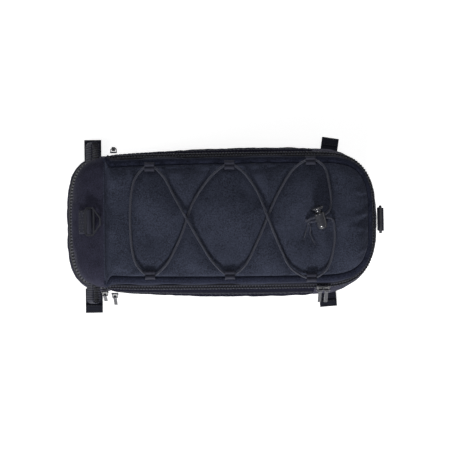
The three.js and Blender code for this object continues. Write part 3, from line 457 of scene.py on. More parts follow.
def smoothed(values, rounds, share):
    """Draws the values inside a grid towards the mean of their neighbours, in place."""
    for _ in range(rounds):
        around = (values[:-2, 1:-1] + values[2:, 1:-1] + values[1:-1, :-2] + values[1:-1, 2:]) / 4
        values[1:-1, 1:-1] = values[1:-1, 1:-1] * (1 - share) + around * share


def smooth_noise(points, scale, seed):
    """Noise from -1 to 1 at each point, with features about one scale across."""
    offset = Vector((seed * 17.3, seed * -9.1, seed * 5.7))
    flat = np.asarray(points, float).reshape(-1, 3)
    values = [noise.noise(Vector(p) / scale + offset) for p in flat]
    return np.array(values).reshape(np.asarray(points).shape[:-1])


def tube_part(line, radius, sides=8, up=(0, 0, 1), ends=True):
    """A tube round a line: its points, faces and UVs. U runs round it, V is metres along it."""
    line = np.asarray(line, float)
    tangent = unit(np.gradient(line, axis=0))
    normal = np.cross(tangent, np.asarray(up, float))
    bad = np.linalg.norm(normal, axis=1) < 1e-3
    normal[bad] = np.cross(tangent[bad], (0, 1, 0))
    normal = unit(normal)
    other = np.cross(normal, tangent)
    radius = np.broadcast_to(radius, len(line))[:, None, None]
    angle = np.linspace(0, 2 * math.pi, sides + 1)[None, :, None]
    points = line[:, None] + radius * (np.cos(angle) * normal[:, None] + np.sin(angle) * other[:, None])
    uvs = np.stack(np.meshgrid(np.linspace(0, 1, sides + 1), along_line(line)), axis=-1)
    faces = grid_faces(len(line), sides + 1)
    if ends:
        faces += end_caps(len(line), sides + 1, sides)
    return points.reshape(-1, 3), faces, uvs.reshape(-1, 2)


def block_part(centre, axes, half, bevel=0.35):
    """A block with bevelled edges: centre, its three axes and its half sizes."""
    cut = bevel * min(half)
    corners = []
    levels = ((-half[2], cut), (-half[2] + cut, 0), (half[2] - cut, 0), (half[2], cut))
    for z, inset in levels:
        x, y = half[0] - inset, half[1] - inset
        ring = [(-x, -y + cut), (-x + cut, -y), (x - cut, -y), (x, -y + cut)]
        ring += [(-px, -py) for px, py in ring]
        corners += [(px, py, z) for px, py in ring]
    faces = grid_faces(len(levels), len(ring), closed=True) + end_caps(len(levels), len(ring), len(ring))
    points = np.asarray(centre) + np.asarray(corners) @ unit(axes)
    return points, faces, np.asarray(corners)[:, :2]


# ---- The frame's surface, sampled ----


class Skin:
    """Finds points on some CAD nodes with rays."""

    def __init__(self, *names):
        points, faces = [], []
        for name in names:
            mesh = nodes[name].data
            start = len(points)
            points += [v.co.copy() for v in mesh.vertices]
            faces += [[start + i for i in p.vertices] for p in mesh.polygons]
        self.tree = BVHTree.FromPolygons(points, faces)

    def reach(self, origin, direction, far=0.3):
        """The distance from origin to the outermost surface along a direction, or None."""
        start = Vector(origin) + Vector(direction) * far
        found = self.tree.ray_cast(start, -Vector(direction), far)
        return None if found[0] is None else far - found[3]

    def top(self, x, y):
        """The height of the uppermost surface at a place, or None."""
        high = 0.3
        found = self.tree.ray_cast(Vector((x, y, high)), Vector((0, 0, -1)), high)
        return None if found[0] is None else found[0].z


FRONT_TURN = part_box("front_wall")[0].x  # where the sides end and the front's curve begins
HINGE = frame["joints"][0]["pos_m"]
LID_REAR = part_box("lid_panel")[0].x
PANEL_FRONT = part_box("rear_top_panel")[1].x
REAR_TURN = -132.7 * MM  # where the rear's curve begins
SEAM_Z = 147 * MM  # the seam between the lid's top and its side band
RIM_INSET = 5.0 * MM  # how far the fixed panel's rim is drawn in from the pocket's zip
STEP = 2.4 * MM  # the usual space between a panel's points


def joint_named(name):
    return next(joint for joint in frame["joints"] if joint["name"] == name)


def node_points(name):
    return np.array([vertex.co for vertex in nodes[name].data.vertices])


def station_list():
    """(origin, direction) pairs round the bag, and how many lie along a side and round an end.

    They run along the right side forward, round the front, along the left side back and round the rear."""
    behind_hinge = 5
    fan_steps = 93
    rear_part = np.linspace(REAR_TURN, HINGE[0], behind_hinge + 1)[:-1]
    count = int((FRONT_TURN - HINGE[0]) / STEP)
    xs = np.concatenate([rear_part, np.linspace(HINGE[0], FRONT_TURN, count + 1)])
    fan = np.linspace(-math.pi / 2, math.pi / 2, fan_steps + 1)[1:-1]
    right = [((x, 0), (0, RIGHT)) for x in xs]
    front = [((FRONT_TURN, 0), (math.cos(a), math.sin(a))) for a in fan]
    left = [((x, 0), (0, LEFT)) for x in xs[::-1]]
    rear = [((REAR_TURN, 0), (-math.cos(a), -math.sin(a))) for a in fan]
    return right + front + left + rear, len(xs), len(fan)


class Outline:
    """The bag's outer surface, by a place round it and a height."""

    # Heights in millimetres, close together where the surface steps at a zip or a seam.
    HEIGHTS = [1, 4, 9, 15, 22, 30, 40, 52, 64, 76, 85, 93, 100, 103.5, 113.5, 116.5, 119.5]
    HEIGHTS += [124, 127.8, 137.2, 139, 141, 143, 144.8, 146.6]
    NEAREST = 15 * MM  # a nearer surface is inside the bag

    def __init__(self):
        stations, self.side_count, self.fan_count = station_list()
        self.origins = np.array([s[0] for s in stations])
        self.directions = np.array([s[1] for s in stations])
        names = ["left_wall", "right_wall", "front_wall", "rear_wall", "left_pocket_panel", "lid_gusset"]
        names += ["right_pocket_panel", "rear_pocket_panel", "rear_pocket_zip", "base_panel", "lid_panel"]
        skin = Skin(*names)
        heights = np.array(self.HEIGHTS) * MM
        table = np.full((len(stations), len(heights)), np.nan)
        for i, (origin, direction) in enumerate(stations):
            for j, z in enumerate(heights):
                reach = skin.reach((*origin, z), (*direction, 0))
                if reach is not None and reach > self.NEAREST:
                    table[i, j] = reach
        self.heights = heights
        self.table = table
        self.fill()

    def fill(self):
        """Fills what no ray found from the heights above and below, and evens out the stations."""
        for row in self.table:
            known = ~np.isnan(row)
            row[~known] = np.interp(self.heights[~known], self.heights[known], row[known])
        for _ in range(2):
            near = (np.roll(self.table, 1, axis=0) + np.roll(self.table, -1, axis=0)) / 2
            self.table = self.table * 0.5 + near * 0.5

    def reach(self, index, z):
        return np.interp(z, self.heights, self.table[index % len(self.table)])

    def point(self, index, z, out=0.0):
        index %= len(self.table)
        reach = self.reach(index, z) + out
        x, y = self.origins[index] + self.directions[index] * reach
        return np.array([x, y, z])

    def line(self, stations, z, out=0.0):
        return np.array([self.point(i, z, out) for i in stations])

    def sheet(self, stations, heights):
        """Points [height, station, 3] on the surface."""
        return np.array([self.line(stations, z) for z in heights])

    def side(self, side, start, end):
        """The stations along one side between two x values, always towards the front."""
        base = 0 if side == RIGHT else self.side_count + self.fan_count
        whole = range(base, base + self.side_count)
        found = [i for i in whole if start <= self.origins[i][0] + 1e-6 <= end + 2e-6]
        return found if side == RIGHT else found[::-1]

    def front(self):
        return list(range(self.side_count - 1, self.side_count + self.fan_count + 1))

    def rear(self):
        """From the fold on the left side round the rear to the fold on the right side."""
        first = 2 * self.side_count + self.fan_count
        left = self.side(LEFT, REAR_TURN, HINGE[0])[::-1]
        right = self.side(RIGHT, REAR_TURN, HINGE[0])
        return left + list(range(first, first + self.fan_count)) + right

    def lid_run(self):
        """From the fold on the right side round the front to the fold on the left side."""
        right = self.side(RIGHT, HINGE[0], FRONT_TURN)
        left = self.side(LEFT, HINGE[0], FRONT_TURN)[::-1]
        return right[:-1] + self.front() + left[1:]


def normals_of(grid, outward):
    """Unit normals of a grid of points, on the side that outward points to."""
    across = np.gradient(grid, axis=1)
    up = np.gradient(grid, axis=0)
    normal = unit(np.cross(across, up))
    sign = np.sign(np.sum(normal * outward, axis=-1, keepdims=True))
    sign[sign == 0] = 1
    return normal * sign


def outward_of(grid):
    """Level directions away from the bag's long middle line."""
    spine = np.clip(grid[..., 0], REAR_TURN + 30 * MM, FRONT_TURN - 30 * MM)
    return unit(np.stack([grid[..., 0] - spine, grid[..., 1], np.zeros(spine.shape)], axis=-1))


def uv_of(grid):
    """Distances along the rows and up the columns, in metres."""
    across = np.linalg.norm(np.diff(grid, axis=1), axis=-1).mean(axis=0)
    up = np.linalg.norm(np.diff(grid, axis=0), axis=-1).mean(axis=1)
    u = np.concatenate([[0], np.cumsum(across)])
    v = np.concatenate([[0], np.cumsum(up)])
    return np.stack(np.meshgrid(u, v), axis=-1)


def edge_fade(grid, reach):
    """0 at a grid's edges, rising to 1 at a distance of reach from them."""
    uv = uv_of(grid)
    u, v = uv[..., 0], uv[..., 1]
    nearest = np.minimum(np.minimum(u, u.max() - u), np.minimum(v, v.max() - v))
    return np.sin(np.clip(nearest / reach, 0, 1) * math.pi / 2)


def tucked(grid, normal, depth, sides=(True, True, True, True)):
    """The grid with one more row or column on some sides, turned into the seam.

    The sides are the bottom, the top, the first column and the last."""
    bottom, top, first, last = (int(side) for side in sides)
    pad = ((bottom, top), (first, last), (0, 0))
    wide = np.pad(grid, pad, mode="edge")
    turns = np.zeros(wide.shape[:2])
    turns[:bottom] += 1
    turns[len(turns) - top:] += 1
    turns[:, :first] += 1
    turns[:, turns.shape[1] - last:] += 1
    return wide - depth * turns[..., None] * np.pad(normal, pad, mode="edge")


def settled(grid, normal, seed, grow, inwards, outwards, pressure):
    """Cloth simulation: a panel cut a little too large, sewn at its edges, finds its own folds.

    Returns how far each point of a coarser grid moves along its normal."""
    every = 2
    frames = 20
    coarse = grid[::every, ::every]
    rows, columns = coarse.shape[:2]
    shape = normal[::every, ::every]
    wave = smooth_noise(coarse, 16 * MM, seed) * edge_fade(coarse, 8 * MM)
    start = coarse + shape * (wave * 0.5 * MM)[..., None]
    piece = add_grid("settling", start, "lining", uv_of(coarse))
    facing = np.array(piece.data.polygons[(columns - 1) * (rows // 2) + columns // 2].normal)
    facing = float(np.dot(facing, shape[rows // 2, columns // 2]))
    pinned = piece.vertex_groups.new(name="sewn")
    on_edge = [r * columns + c for r in range(rows) for c in range(columns)
               if r in (0, rows - 1) or c in (0, columns - 1)]
    pinned.add(on_edge, 1.0, "REPLACE")
    cloth = piece.modifiers.new("cloth", "CLOTH")
    settings = cloth.settings
    settings.vertex_group_mass = "sewn"
    settings.quality = 6
    settings.mass = 0.3
    settings.tension_stiffness = 12
    settings.compression_stiffness = 12
    settings.shear_stiffness = 4
    settings.bending_stiffness = 0.4
    settings.shrink_min = -grow
    settings.use_pressure = True
    settings.uniform_pressure_force = pressure * (1 if facing > 0 else -1)
    settings.effector_weights.gravity = 0
    cloth.collision_settings.use_collision = False
    scene = bpy.context.scene
    for number in range(frames):
        scene.frame_set(number + 1)
    solved = piece.evaluated_get(bpy.context.evaluated_depsgraph_get()).data
    moved = np.empty(rows * columns * 3)
    solved.vertices.foreach_get("co", moved)
    bpy.data.objects.remove(piece)
    scene.frame_set(1)
    shift = np.sum((moved.reshape(rows, columns, 3) - coarse) * shape, axis=-1)
    return np.clip(shift, -inwards, outwards)


def spread_up(values, rows, columns):
    """Values on a coarse grid, smoothly interpolated to rows by columns."""
    low_rows, low_columns = values.shape
    at = np.linspace(0, low_columns - 1, columns)
    wide = np.array([np.interp(at, np.arange(low_columns), row) for row in values])
    at = np.linspace(0, low_rows - 1, rows)
    full = np.array([np.interp(at, np.arange(low_rows), column) for column in wide.T]).T
    smoothed(full, rounds=2, share=0.6)
    return full


def soft_panel(name, grid, outward, finish, body, covers, puff, swell, seed, fold=0.5 * MM, relax=None,
               tuck=(True, True, True, True), extra=None, depth=1.6 * MM):
    """A sewn panel: it swells between its seams, creases a little, and its edges turn into the seams."""
    normal = normals_of(grid, outward)
    rise = puff * edge_fade(grid, swell)
    if relax is not None:
        found = settled(grid, normal, seed, **relax)
        rise = rise + spread_up(found, *grid.shape[:2]) * edge_fade(grid, 5 * MM)
    creases = smooth_noise(grid, 9 * MM, seed + 3) + 0.5 * smooth_noise(grid, 4.5 * MM, seed + 5)
    rise = rise + fold * creases * edge_fade(grid, 6 * MM)
    if extra is not None:
        rise = rise + extra(grid)
    shaped = grid + normal * rise[..., None]
    full = tucked(shaped, normal, depth, tuck)
    piece = add_grid(name, full, finish, uv_of(full))
    turn_outward(piece, outward)
    belongs(piece, body, covers)
    return piece, shaped


def turn_outward(piece, outward):
    """Flips a grid's faces if they look inwards."""
    middle = piece.data.polygons[len(piece.data.polygons) // 2]
    away = outward.reshape(-1, 3).mean(axis=0)
    faces_up_or_down = abs(away[2]) > 0.5
    if not faces_up_or_down:
        away = outward_of(np.array(middle.center)[None, :])[0]
    if np.dot(np.array(middle.normal), away) < 0:
        piece.data.flip_normals()


def stitches(line, normal):
    """Thread parts along a line: short stitches that dip into the cloth at their ends."""
    length = 2.0 * MM
    space = 0.8 * MM
    radius = 0.22 * MM
    lift = 0.1 * MM
    run = along_line(line)
    count = int(run[-1] / (length + space))
    dip = np.array([-0.3, 0.6, 1, 0.6, -0.3])[:, None] * radius * 1.2
    parts = []
    for i in range(count):
        at = (i + 0.5) * run[-1] / count + np.linspace(-0.5, 0.5, 5) * length
        points = placed(line, run, at) + placed(normal, run, at) * (dip + lift)
        parts.append(tube_part(points, radius, 5, up=(0.13, 0.2, 0.97)))
    return parts


# ---- The elastic cord, its knot and its loops ----

LOOP_NAMES = [f"{place}_{side}_loop" for place in ("rear", "middle", "front") for side in ("left", "right")]
CORD_RADIUS = 1.25 * MM
# Heights of the cord's middle above the lid: lying on it, near a loop, and crossing over itself.
LYING = CORD_RADIUS + GAP
NEAR = LYING + 0.9 * MM
OVER = LYING + 2 * CORD_RADIUS + 0.7 * MM
CORD_HOLES = (9.5 * MM, 13.3 * MM)  # the cord's two passes through the lock, from its base


def lock_axis():
    """The lock's base, the way its plunger points, the way its holes run, and its upper side."""
    along = -unit(np.array(joint_named("lock_press")["axis"]))
    points = node_points("lock_barrel")
    reach = points @ along
    base = points[reach < reach.min() + 0.05 * MM].mean(axis=0)
    across = unit(np.array([along[1], -along[0], 0]))
    return base, along, across, np.cross(across, along)


LOCK_BASE, LOCK_ALONG, LOCK_ACROSS, LOCK_UP = lock_axis()
LID_SKIN = Skin("lid_panel")


def through_loop(name, outwards):
    """The middle of a loop, a little towards its outer side."""
    low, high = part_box(name)
    middle = (low + high) / 2
    return np.array([middle.x, middle.y + math.copysign(outwards, middle.y), middle.z])


def through_lock(across, along):
    """A place in the lock: across it, and along it from its base."""
    return LOCK_BASE + LOCK_ACROSS * across + LOCK_ALONG * along


def above_lid(x, y, height):
    """A place over the lid's top surface."""
    return np.array([x, y, LID_SKIN.top(x, y) + height])


def cord_route():
    """Out of the lock, zigzag to the rear and back, twice over itself, and into the lock again."""
    # Places in millimetres with a height above the lid, and loops with how far out they are passed.
    stops = [
        (113.4, 12, NEAR + 3 * MM),
        (112.6, 37, LYING),
        (107.4, 55, NEAR),
        ("front_left_loop", 0.8),
        (78.3, 53.9, NEAR),
        (60.4, 28, LYING),
        (37.4, -23, LYING),
        (23.4, -48.5, NEAR),
        ("middle_right_loop", 0.8),
        (-6, -47.2, NEAR),
        (-20.4, -25.6, LYING),
        (-34.9, 0.5, OVER),
        (-48.6, 25.6, LYING),
        (-60, 46.8, NEAR),
        ("rear_left_loop", 1.2),
        (-88.2, 45, NEAR),
        (-94.2, 0, LYING),
        (-88.2, -45, NEAR),
        ("rear_right_loop", 1.2),
        (-59.6, -48.4, NEAR),
        (-42, -17, LYING),
        (-27.4, 21, LYING),
        (-4.6, 50.2, NEAR),
        ("middle_left_loop", 0.8),
        (23.6, 49.6, NEAR),
        (37.6, 29.6, LYING),
        (48.2, 2.6, OVER),
        (60.6, -28.6, LYING),
        (72.6, -51.6, NEAR),
        ("front_right_loop", 0.8),
        (108.4, -53, NEAR),
        (116.2, -31, LYING),
        (117.2, -8.6, NEAR + 1.2 * MM),
        (114.6, -1, NEAR + 3.7 * MM),
    ]
    second, first = CORD_HOLES
    route = [through_lock(across * MM, first) for across in (-8.2, 0, 6.6)]
    for stop in stops:
        if stop[0] in LOOP_NAMES:
            route.append(through_loop(stop[0], stop[1] * MM))
        else:
            route.append(above_lid(stop[0] * MM, stop[1] * MM, stop[2]))
    return np.array(route + [through_lock(across * MM, second) for across in (6.6, 0, -8.2)])


def centripetal(points, steps=14):
    """A smooth curve through the points."""
    points = np.asarray(points, float)
    points = np.concatenate([[2 * points[0] - points[1]], points, [2 * points[-1] - points[-2]]])

    def between(low, high, t, first, last):
        return ((last - t) * low + (t - first) * high) / (last - first)

    curve = []
    for i in range(1, len(points) - 2):
        p = points[i - 1 : i + 3]
        gaps = np.sqrt(np.maximum(np.linalg.norm(np.diff(p, axis=0), axis=1), 1e-9))
        t = np.concatenate([[0], np.cumsum(gaps)])
        for at in np.linspace(t[1], t[2], steps, endpoint=False):
            a = [between(p[k], p[k + 1], at, t[k], t[k + 1]) for k in range(3)]
            b = [between(a[k], a[k + 1], at, t[k], t[k + 2]) for k in range(2)]
            curve.append(between(b[0], b[1], at, t[1], t[2]))
    return np.array(curve + [points[-2]])


CORD_LINE = resampled(centripetal(cord_route()), 1.6 * MM)


def add_cord(knot):
    part = tube_part(CORD_LINE, CORD_RADIUS, 12, up=(0.02, 0.03, 1))
    cord = joined_mesh("cord_lacing", [part], "cord")
    belongs(cord, "lid", ["elastic_cord"])


def knot_middle():
    """The knot's middle, beside the lock, where the cord's two ends meet."""
    middle = (CORD_LINE[0] + CORD_LINE[-1]) / 2 - LOCK_ACROSS * 3.6 * MM
    middle[2] = min(middle[2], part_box("cord_knot")[1].z - 4.2 * MM)
    return middle


def tail_lines():
    """The two tails' centre lines, from the knot down on to the lid."""
    tails = [
        [(0, 0, 0), (-1.2, -5.5, -1), (-2.6, -10, -4), (-4.8, -17, -5)],
        [(0, 0, 0), (1.6, -6, 0), (1.4, -12, -3), (3.2, -17.5, -5), (5.4, -22.5, -5)],
    ]
    lines = []
    for tail in tails:
        points = [knot_middle() + np.array(p) * MM for p in tail]
        for p in points[1:]:
            p[2] = max(p[2], LID_SKIN.top(p[0], p[1]) + 1.5 * MM)
        lines.append(resampled(centripetal(points), 1.0 * MM))
    return lines


def add_knot():
    """An overhand knot in the two ends, with two thin frayed tails."""
    middle = knot_middle()
    size = 1.15 * MM
    t = np.linspace(0, 2 * math.pi, 60)
    trefoil = (np.sin(t) + 1.5 * np.sin(2 * t), np.cos(t) - 1.5 * np.cos(2 * t), 0.8 * np.sin(3 * t))
    axes = np.array([LOCK_ACROSS, LOCK_ALONG, LOCK_UP])
    parts = [tube_part(middle + (np.stack(trefoil, axis=1) * size) @ axes, size, 8)]
    for end, along in ((CORD_LINE[0], 1.2 * MM), (CORD_LINE[-1], -1.2 * MM)):
        line = np.array([end + LOCK_ACROSS * MM, end, middle + LOCK_ALONG * along])
        parts.append(tube_part(centripetal(line, 6), 1.3 * MM, 8))
    for line in tail_lines():
        thin = np.interp(along_line(line), [0, 5 * MM, 30 * MM], [1.0 * MM, 0.75 * MM, 0.6 * MM])
        parts.append(tube_part(line, thin, 7))
        for _ in range(4):
            way = unit(line[-1] - line[-4]) * 2.6 * MM
            spread = [dice.uniform(-1, 1), dice.uniform(-1, 1), dice.uniform(-0.1, 0.3)]
            spread = np.array(spread) * 1.1 * MM
            strand = np.array([line[-2], line[-1] + way * 0.4 + spread * 0.3, line[-1] + way * 0.8 + spread])
            parts.append(tube_part(centripetal(strand, 4), 0.2 * MM, 5))
    knot = joined_mesh("cord_end_knot", parts, "cord")
    belongs(knot, "lid", ["cord_knot"])
    return knot


def add_loop(name):
    """A short loop of webbing folded flat over the cord: two rolled ridges with a groove between them."""
    low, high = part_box(name)
    middle = np.array((low + high) / 2)
    half = np.array((high - low) / 2)
    side = math.copysign(1, middle[1])
    outer = [(1.0, -1.0), (1.06, -0.3), (1.0, 0.45), (0.8, 0.86), (0.5, 0.98), (0.22, 0.8), (0.06, 0.5)]
    inner = [(0.06, 0.5), (0.22, 0.76), (0.5, 0.94), (0.8, 0.8), (1.0, 0.35), (1.06, -0.3), (1.0, -1.0)]
    profile = outer + [(-y, z) for y, z in inner]
    turned = centripetal(np.array([(0, y * half[1], z * half[2]) for y, z in profile]), 3)
    xs = np.linspace(-1, 1, 11)
    grid = np.empty((len(turned), len(xs), 3))
    grid[..., 0] = middle[0] + xs * half[0] * 0.94
    grid[..., 1] = middle[1] + side * turned[:, 1:2] * (1 + 0.07 * xs * xs)
    grid[..., 2] = middle[2] + turned[:, 2:]
    grid[..., 2] += smooth_noise(grid, 5 * MM, LOOP_NAMES.index(name)) * 0.25 * MM
    piece = add_grid(name + "_webbing", grid, "loop_webbing", uv_of(grid)[..., ::-1])
    give_thickness(piece, 0.8 * MM, side)
    belongs(piece, "lid", [name])


def give_thickness(piece, thickness, offset):
    solid = piece.modifiers.new("thickness", "SOLIDIFY")
    solid.thickness = thickness
    solid.offset = offset
    solid.use_even_offset = False
    apply_modifiers(piece)


def apply_modifiers(piece):
    solved = piece.evaluated_get(bpy.context.evaluated_depsgraph_get())
    mesh = bpy.data.meshes.new_from_object(solved)
    piece.modifiers.clear()
    piece.data = mesh


# ---- The walls, the pockets and the base ----


def heights_between(low, high, step=STEP):
    return np.linspace(low, high, max(int(round((high - low) / step)), 2) + 1)


def wall_panel(outline, name, stations, low, high, finish, covers, fill, **looks):
    """A sewn and padded panel of the bag's wall, between two heights."""
    grid = outline.sheet(stations, heights_between(low, high))
    panel, _ = soft_panel(name, grid, outward_of(grid), finish, "bag", covers, **looks)


def add_walls(outline):
    """The side pockets, the strips of wall above them, the front and the rear pocket."""
    low = 1.2 * MM
    pocket_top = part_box("left_pocket_panel")[1].z
    strip_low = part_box("left_pocket_zip")[1].z + 0.2 * MM
    wall_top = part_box("left_wall")[1].z
    rear_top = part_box("rear_pocket_panel")[1].z
    calm = dict(grow=0.02, inwards=1.6 * MM, outwards=0.5 * MM, pressure=0.1)
    for side, name in SIDE_NAMES.items():
        stations = outline.side(side, HINGE[0], FRONT_TURN)
        covers = [name + "_pocket_panel"]
        # The pockets and the wall strips above them are painted darker than the body's cloth, partly as
        # painted shade.
        wall_panel(outline, name + "_pocket", stations, low, pocket_top, "shaded_mesh_fabric", covers, fill=0.4,
                   puff=0.5 * MM, swell=22 * MM, seed=11 + side, relax=calm)
        wall_panel(outline, name + "_wall_strip", stations, strip_low, wall_top, "shaded_mesh_fabric",
                   [name + "_wall"], fill=0.5, puff=0.5 * MM, swell=6 * MM, seed=21 + side, fold=0.3 * MM)
    wall_panel(outline, "front_panel", outline.front(), low, wall_top, "body_fabric",
               ["front_wall"], fill=0.5, puff=0.4 * MM, swell=20 * MM, seed=31, relax=calm)
    wall_panel(outline, "rear_pocket", outline.rear(), low, rear_top, "body_fabric",
               ["rear_pocket_panel", "rear_wall"], fill=0.4, puff=0.4 * MM, swell=22 * MM, seed=41,
               relax=calm)


def whole_run(outline):
    """All the stations once round, from the fold on the right side forward."""
    return outline.lid_run() + outline.rear()[1:-1]


def drawn_in(edge, levels):
    """Rings from an edge in to the middle, each with its share of the edge's size and its height."""
    rings = [np.column_stack([edge[:, :2] * share, np.full(len(edge), z)]) for share, z in levels]
    return np.array(rings)


def add_base(outline):
    """The base's coated fabric, turned up at its edge, with a bound seam round it."""
    stations = whole_run(outline)
    levels = ((1.0, 1.5), (0.996, 0.5), (0.985, 0.05), (0.9, 0.0), (0.6, 0.0), (0.25, 0.0), (0.0, 0.0))
    edge = outline.line(stations, 0.9 * MM)
    grid = drawn_in(edge, [(share, z * MM) for share, z in levels])
    piece = add_grid("base_cover", grid, "body_fabric", grid[..., :2].copy(), closed=True)
    belongs(piece, "bag", ["base_panel", "base_board"])
    binding = outline.line(stations, 3.4 * MM, out=0.6 * MM)
    binding = np.concatenate([binding, binding[:1]])
    cord = joined_mesh("base_binding", [tube_part(binding, 1.3 * MM, 8)], "zip_tape")
    belongs(cord, "bag")


def add_lining(outline):
    """The thin sleeve inside the walls, and the floor's cloth, drawn in a little with soft folds."""
    low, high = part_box("body_lining")
    stations = whole_run(outline)
    inset = 7.2 * MM
    levels = heights_between(low.z, high.z - 0.2 * MM, 6 * MM)
    grid = np.array([outline.line(stations, z, out=-inset) for z in levels])
    sag = smooth_noise(grid, 30 * MM, 61) * 0.9 * MM
    fade = np.sin(np.linspace(0, math.pi, len(grid)))[:, None]
    grid = grid - outward_of(grid) * (np.abs(sag) * fade)[..., None]
    sleeve = add_grid("lining_sleeve", grid, "lining", uv_of(grid), closed=True)
    sleeve.data.flip_normals()
    belongs(sleeve, "bag", ["body_lining"])
    floor_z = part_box("floor_lining")[1].z
    edge = outline.line(stations, floor_z, out=-inset - 0.3 * MM)
    levels = [(1.0, floor_z - 0.4 * MM)] + [(share, floor_z) for share in (0.97, 0.8, 0.6, 0.4, 0.2, 0.0)]
    grid = drawn_in(edge, levels)
    grid[1:-1, :, 2] += smooth_noise(grid[1:-1], 26 * MM, 67) * 0.35 * MM
    floor = add_grid("lining_floor", grid, "lining", grid[..., :2].copy(), closed=True)
    belongs(floor, "bag", ["floor_lining"])


# ---- The zips ----


def teeth(line, outward, up, pitch, size, shift=0.0, lean=0.0):
    """A row of moulded coil turns along a line: size is along, up and out in mm, lean slants each turn."""
    run = along_line(line)
    count = int(run[-1] / pitch)
    parts = []
    for i in range(count):
        at = (i + 0.5) * run[-1] / count + shift * pitch
        if at > run[-1]:
            continue
        high = unit(placed(up, run, at))
        along = unit(np.cross(high, unit(placed(outward, run, at))))
        out = np.cross(along, high)
        axes = (unit(along + lean * high), high, out)
        parts.append(block_part(placed(line, run, at), axes, [s * MM / 2 for s in size], bevel=0.7))
    return parts


def add_teeth(node, parts, body):
    belongs(joined_mesh(node + "_teeth", parts, "zip_teeth"), body)


def zip_frame(outline, stations, z, out, tilt=0.0):
    """A line round the bag for teeth, with its outward and upward directions; tilt leans them inwards."""
    line = outline.line(stations, z, out)
    outward = np.array([np.append(outline.directions[i % len(outline.table)], 0.0) for i in stations])
    tangent = unit(np.gradient(line, axis=0))
    outward = unit(outward - tangent * np.sum(outward * tangent, axis=1, keepdims=True))
    up = unit(np.array([0.0, 0, 1]) - tilt * outward)
    return line, outward, up


def tape(outline, node, stations, low, high, out, body, lean_in=0.0, slope=0.0):
    """A strip of zip tape with a slight roll, its edges turned in.

    It slopes inwards from its foot, and its upper half may lean in as well."""
    grid = []
    for share in np.linspace(0, 1, 9):
        lift = 0.35 * MM * math.sin(math.pi * share) - lean_in * max(2 * share - 1, 0) - slope * share
        grid.append(outline.line(stations, low + (high - low) * share, out + lift))
    grid = np.array(grid)
    full = tucked(grid, normals_of(grid, outward_of(grid)), 1.4 * MM)
    piece = add_grid(node + "_tape", full, "zip_tape", uv_of(full)[..., ::-1])
    turn_outward(piece, outward_of(grid))
    belongs(piece, body, [node])


def add_lid_zip(outline):
    """The two halves of the lid's zip, the lower on the bag and the upper on the lid."""
    run = outline.lid_run()
    pitch = 3.05 * MM
    turn_size = (1.9, 2.3, 1.5)
    parting = (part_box("body_zip")[1].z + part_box("lid_zip")[0].z) / 2
    for way, node, body in ((-1, "body_zip", "bag"), (1, "lid_zip", "lid")):
        low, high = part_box(node)
        inner, outer = (high.z, low.z) if way < 0 else (low.z, high.z)
        ends = sorted((inner + way * 0.1 * MM, outer + way * 0.3 * MM))
        tape(outline, node, run, *ends, -way * 0.5 * MM, body, slope=(0.9 - 0.3 * way) * MM)
        lines = zip_frame(outline, run, parting + way * 1.4 * MM, (0.1 - 0.75 * way) * MM, tilt=0.5)
        add_teeth(node, teeth(*lines, pitch, turn_size, shift=0.25 * (way + 1), lean=0.3 * way), body)


def add_pocket_zips(outline):
    """The two side pockets' slanted coils, and the rear pocket's one wide row of ribs."""
    side_pitch = 4.6 * MM
    side_turn = (3.0, 1.5, 1.2)
    rear_pitch = 3.3 * MM
    rear_rib = (1.9, 8.4, 1.6)
    for side, name in SIDE_NAMES.items():
        node = name + "_pocket_zip"
        low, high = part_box(node)
        stations = outline.side(side, HINGE[0], FRONT_TURN)
        tape(outline, node, stations, low.z - 0.3 * MM, high.z + 0.4 * MM, -0.3 * MM, "bag")
        middle = (low.z + high.z) / 2
        parts = []
        for way in (-1, 1):
            lines = zip_frame(outline, stations, middle + way * 0.95 * MM, 0.15 * MM)
            parts += teeth(*lines, side_pitch, side_turn, shift=0.25 * (way + 1), lean=way * side)
        add_teeth(node, parts, "bag")
    node = "rear_pocket_zip"
    low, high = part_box(node)
    stations = outline.rear()
    tape(outline, node, stations, low.z - 0.3 * MM, high.z + 1.4 * MM, -0.3 * MM, "bag", lean_in=RIM_INSET)
    lines = zip_frame(outline, stations, low.z + 8.2 * MM, -0.9 * MM, tilt=0.53)
    add_teeth(node, teeth(*lines, rear_pitch, rear_rib), "bag")


# ---- The lid ----


def coons(first, last, start, end):
    """A grid between four lines: first and last run the same way, start and end join their ends."""
    rows, columns = len(start), len(first)
    u = np.linspace(0, 1, columns)[None, :, None]
    v = np.linspace(0, 1, rows)[:, None, None]
    ruled = (1 - v) * first[None] + v * last[None] + (1 - u) * start[:, None] + u * end[:, None]
    corners = (1 - v) * ((1 - u) * first[0] + u * first[-1]) + v * ((1 - u) * last[0] + u * last[-1])
    return ruled - corners


